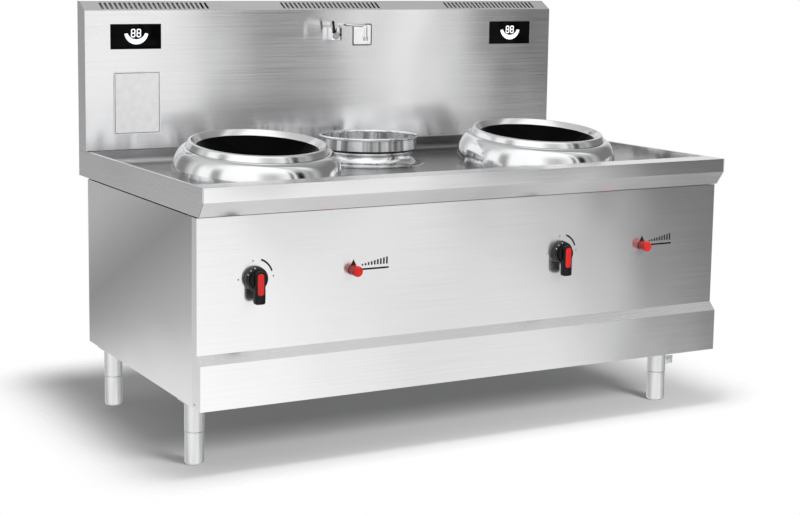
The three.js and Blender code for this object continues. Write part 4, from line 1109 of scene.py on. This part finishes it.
for word in ("left", "right"):
    low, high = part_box(f"display_window_{word}")
    middle_x, middle_z = (low[0] + high[0]) / 2, (low[2] + high[2]) / 2
    window = block(low[:3], high[:3], 0.0008)
    piece(f"window_{word}", meshed(window), window_glass, f"display_window_{word}")
    segments = []
    for figure_x in (middle_x - 0.0099, middle_x + 0.0094):
        foot_z = middle_z - 0.0007
        left, right = figure_x - figure_width / 2, figure_x + figure_width / 2
        rows = [(foot_z + figure_height * part, slant * part) for part in (0.0, 0.5, 1.0)]
        (bl, br), (ml, mr), (tl, tr) = [((left + shift, z), (right + shift, z)) for z, shift in rows]
        for start, end in ((bl, br), (ml, mr), (tl, tr), (bl, ml), (br, mr), (ml, tl), (mr, tr)):
            segments.append(bar_between(start, end))
    gauge = (middle_x + 0.0012, middle_z + 0.0165)
    share = (gauge_to - gauge_from) / gauge_count
    for i in range(gauge_count):
        spots = [gauge_from + share * (i + part) + nudge for part, nudge in ((0.0, 0.5), (0.5, 0.0), (1.0, -0.5))]
        depths = [0.011 + 0.0055 * math.sin(math.pi * (i + part) / gauge_count) for part in (0.0, 0.5, 1.0)]
        rim = [arc(gauge, gauge_radius, spot, spot, 1)[0] for spot in spots]
        hollow = [arc(gauge, gauge_radius - depth, spot, spot, 1)[0] for depth, spot in zip(depths, spots)]
        segments.append(lit_segment(rounded([*rim, *reversed(hollow)], 0.0005, 2)))
    piece(f"lit_figures_{word}", meshed(together(*segments)), lit)
    dressed(f"display_module_{word}", module_paint)

# ---------------------------------------------------------------------------
# Blank plates: one large and one small thin plate on the splashback, each with
# a printed border and nothing in it.
plate_foil = moulded("plate_foil", (0.72, 0.72, 0.725), 0.45, 0.3)
plate_print = print_ink("plate_print", (0.06, 0.06, 0.063), 0.45)
for name, node, bend, inset, line in (
    ("data_plate", "blank_data_plate", 0.003, 0.0035, 0.0017),
    ("notice_plate", "blank_notice_plate", 0.008, 0.0005, 0.0042),
):
    low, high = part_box(node)

    def outlined(inset, bend):
        return rounded(boxed(low[0] + inset, high[0] - inset, low[2] + inset, high[2] - inset), bend, 5)

    piece(name, meshed(slab(outlined(0.0, bend), low[1], high[1])), plate_foil, node)
    outer, inner = outlined(inset, bend), outlined(inset + line, max(bend - line, 0.001))
    front, back = low[1] - ink_rise, low[1] + 0.0001
    rings = ((outer, back), (outer, front), (inner, front), (inner, back), (outer, back))
    border = loft([[(u, y, v) for u, v in outline] for outline, y in rings], caps=False)
    bmesh.ops.remove_doubles(border, verts=border.verts, dist=1e-6)
    piece(f"{name}_border", meshed(border), plate_print)

# ---------------------------------------------------------------------------
# Tap: a chromed square valve block against the sheet, with a round cartridge cap,
# a black lever on its bonnet and a swivelling spout that reaches over the well.
tap_chrome = Finish("tap_chrome", (0.86, 0.87, 0.885), 0.05, 1.0)
smear = tap_chrome.grain(55.0)
tap_chrome.set("Base Color", tap_chrome.mixed(smear, (0.8, 0.81, 0.825), (0.92, 0.925, 0.94)))
tap_chrome.set("Roughness", 0.03 + smear * 0.07)
tap = Vector((-0.006, 0.423, 1.183))
valve_half, valve_tall = 0.02, 0.022
low = (tap.x - valve_half, tap.y - 0.0075, tap.z - valve_tall)
valve = block(low, (tap.x + valve_half, 0.4506, tap.z + valve_tall), 0.0016, 3)
cap_steps = [(0.0, 0.0098), (0.0128, 0.0098), (0.014, 0.0088), (0.0142, 0.0075), (0.0148, 0.0068), (0.0148, 0.005)]
cartridge = turned([*cap_steps, (0.0, 0.005)], tap + Vector((-0.004, 0.0, -0.005)), "y", 56)
tail = turned([(0.0, -0.0574), (0.01, -0.0574), (0.01, -0.02), (0.0, -0.02)], tap, "y", 32)
lever = Vector((tap.x - 0.014, 0.412, tap.z + 0.008))
bonnet = turned([(0.0, -0.011), (0.0058, -0.011), (0.006, -0.001), (0.0054, -0.0002), (0.0, 0.0)], lever, "y", 32)
spout_x = tap.x + 0.009
seat_steps = [(0.0, 0.0), (0.009, 0.0), (0.009, 0.0222), (0.0083, 0.0238), (0.0, 0.024)]
seat = turned(seat_steps, (spout_x, tap.y, tap.z), "z", 32)
piece("valve_body", meshed(together(valve, cartridge, tail, bonnet, seat)), tap_chrome, "tap_body")

cap_steps = [(0.0, 0.0), (0.0049, 0.0), (0.0054, 0.0006), (0.0054, 0.0068), (0.0044, 0.0086), (0.0, 0.009)]
cap = turned(cap_steps, lever - Vector((0.0, 0.001, 0.0)), "y", 40)
oval = [(math.cos(math.tau * i / 20), math.sin(math.tau * i / 20)) for i in range(20)]
sections = [
    [(u * wide, lever.y - 0.006 + v * thick, rise) for u, v in oval]
    for rise, wide, thick in (
        (0.0, 0.0046, 0.0028), (0.01, 0.0038, 0.0024), (0.025, 0.0043, 0.0025), (0.034, 0.0049, 0.0027),
        (0.0372, 0.0038, 0.002), (0.0379, 0.0015, 0.001),
    )
]
shut = Matrix.Translation((lever.x, 0.0, lever.z)) @ Matrix.Rotation(math.radians(-10.0), 4, "Y")
piece("tap_handle", meshed(together(cap, moved(loft(sections), shut))), black_moulding, "tap_lever", body="lever")


def tube_along(points, radius):
    """A round bar whose centre follows the points, in a plane across x."""
    steps = 28
    side = Vector((1.0, 0.0, 0.0))
    sections = []
    for i, here in enumerate(points):
        heading = (points[min(i + 1, len(points) - 1)] - points[max(i - 1, 0)]).normalized()
        rise = heading.cross(side)
        angles = [math.tau * k / steps for k in range(steps)]
        sections.append([here + (side * math.cos(angle) + rise * math.sin(angle)) * radius for angle in angles])
    return loft(sections)


spout_base = 1.208
spout_top = spout_base + 0.009
outlet_y = tap.y - 0.197
outlet_z = spout_top - 0.036
route = [(tap.y, spout_base), (tap.y, spout_top - 0.007)]
route += [(tap.y - 0.014 * t * t, spout_top - 0.007 * (1 - t) ** 2) for t in [i / 8 for i in range(1, 9)]]
route += [(tap.y - 0.1, spout_top)]
route += [(outlet_y + 0.014 * (1 - t) ** 2, spout_top - 0.014 * t * t) for t in [i / 10 for i in range(11)]]
route += [(outlet_y, outlet_z)]
bent_tube = tube_along([Vector((spout_x, y, z)) for y, z in route], 0.006)
nut_steps = [(0.0, 0.0), (0.0092, 0.0), (0.0098, 0.0008), (0.0098, 0.0052), (0.0088, 0.006), (0.0, 0.006)]
nut = turned(nut_steps, (spout_x, tap.y, spout_base), "z", 6)
piece("spout_tube", meshed(together(bent_tube, nut)), tap_chrome, "tap_spout", body="spout")
knurl = [(0.008 if i % 2 else 0.0076, -0.0125 + i * 0.0009) for i in range(12)]
outlet = turned(
    [
        (0.0052, -0.0138), (0.0072, -0.014), (0.008, -0.0132), *knurl, (0.0078, -0.0012), (0.0068, -0.0004),
        (0.0, -0.0004), (0.0, -0.006), (0.0052, -0.006),
    ],
    (spout_x, outlet_y, outlet_z),
    "z",
    40,
)
piece("spout_outlet", meshed(outlet), tap_chrome, "spout_nozzle", body="spout")

# ---------------------------------------------------------------------------
# Cable gland: a ribbed black nut in the back panel where the mains cable goes
# in. The range is drawn without its cable.
gland_x, gland_y, gland_z = 0.62, 0.437, 0.279
gland_body = turned(
    [
        (0.007, 0.012), (0.0134, 0.012), (0.0134, -0.0006), (0.0195, -0.0006), (0.02, -0.0014), (0.02, -0.0092),
        (0.0188, -0.0102), (0.0165, -0.0108), (0.0155, -0.0205), (0.0135, -0.022), (0.007, -0.022),
    ],
    (gland_x, gland_y, gland_z),
    "y",
    48,
)
ribs = []
rib_count = 16
for i in range(rib_count):
    rib = block((-0.0011, 0.0, 0.0155), (0.0011, 0.0085, 0.0178), 0.0004, 1)
    turn = Matrix.Rotation(math.tau * i / rib_count, 4, "Y")
    ribs.append(moved(rib, Matrix.Translation((gland_x, gland_y + 0.0115, gland_z)) @ turn))
piece("ribbed_gland", meshed(together(gland_body, *ribs)), black_moulding, "cable_gland")

# ---------------------------------------------------------------------------
# The view settings stay plain.
bpy.context.scene.view_settings.view_transform = "Standard"
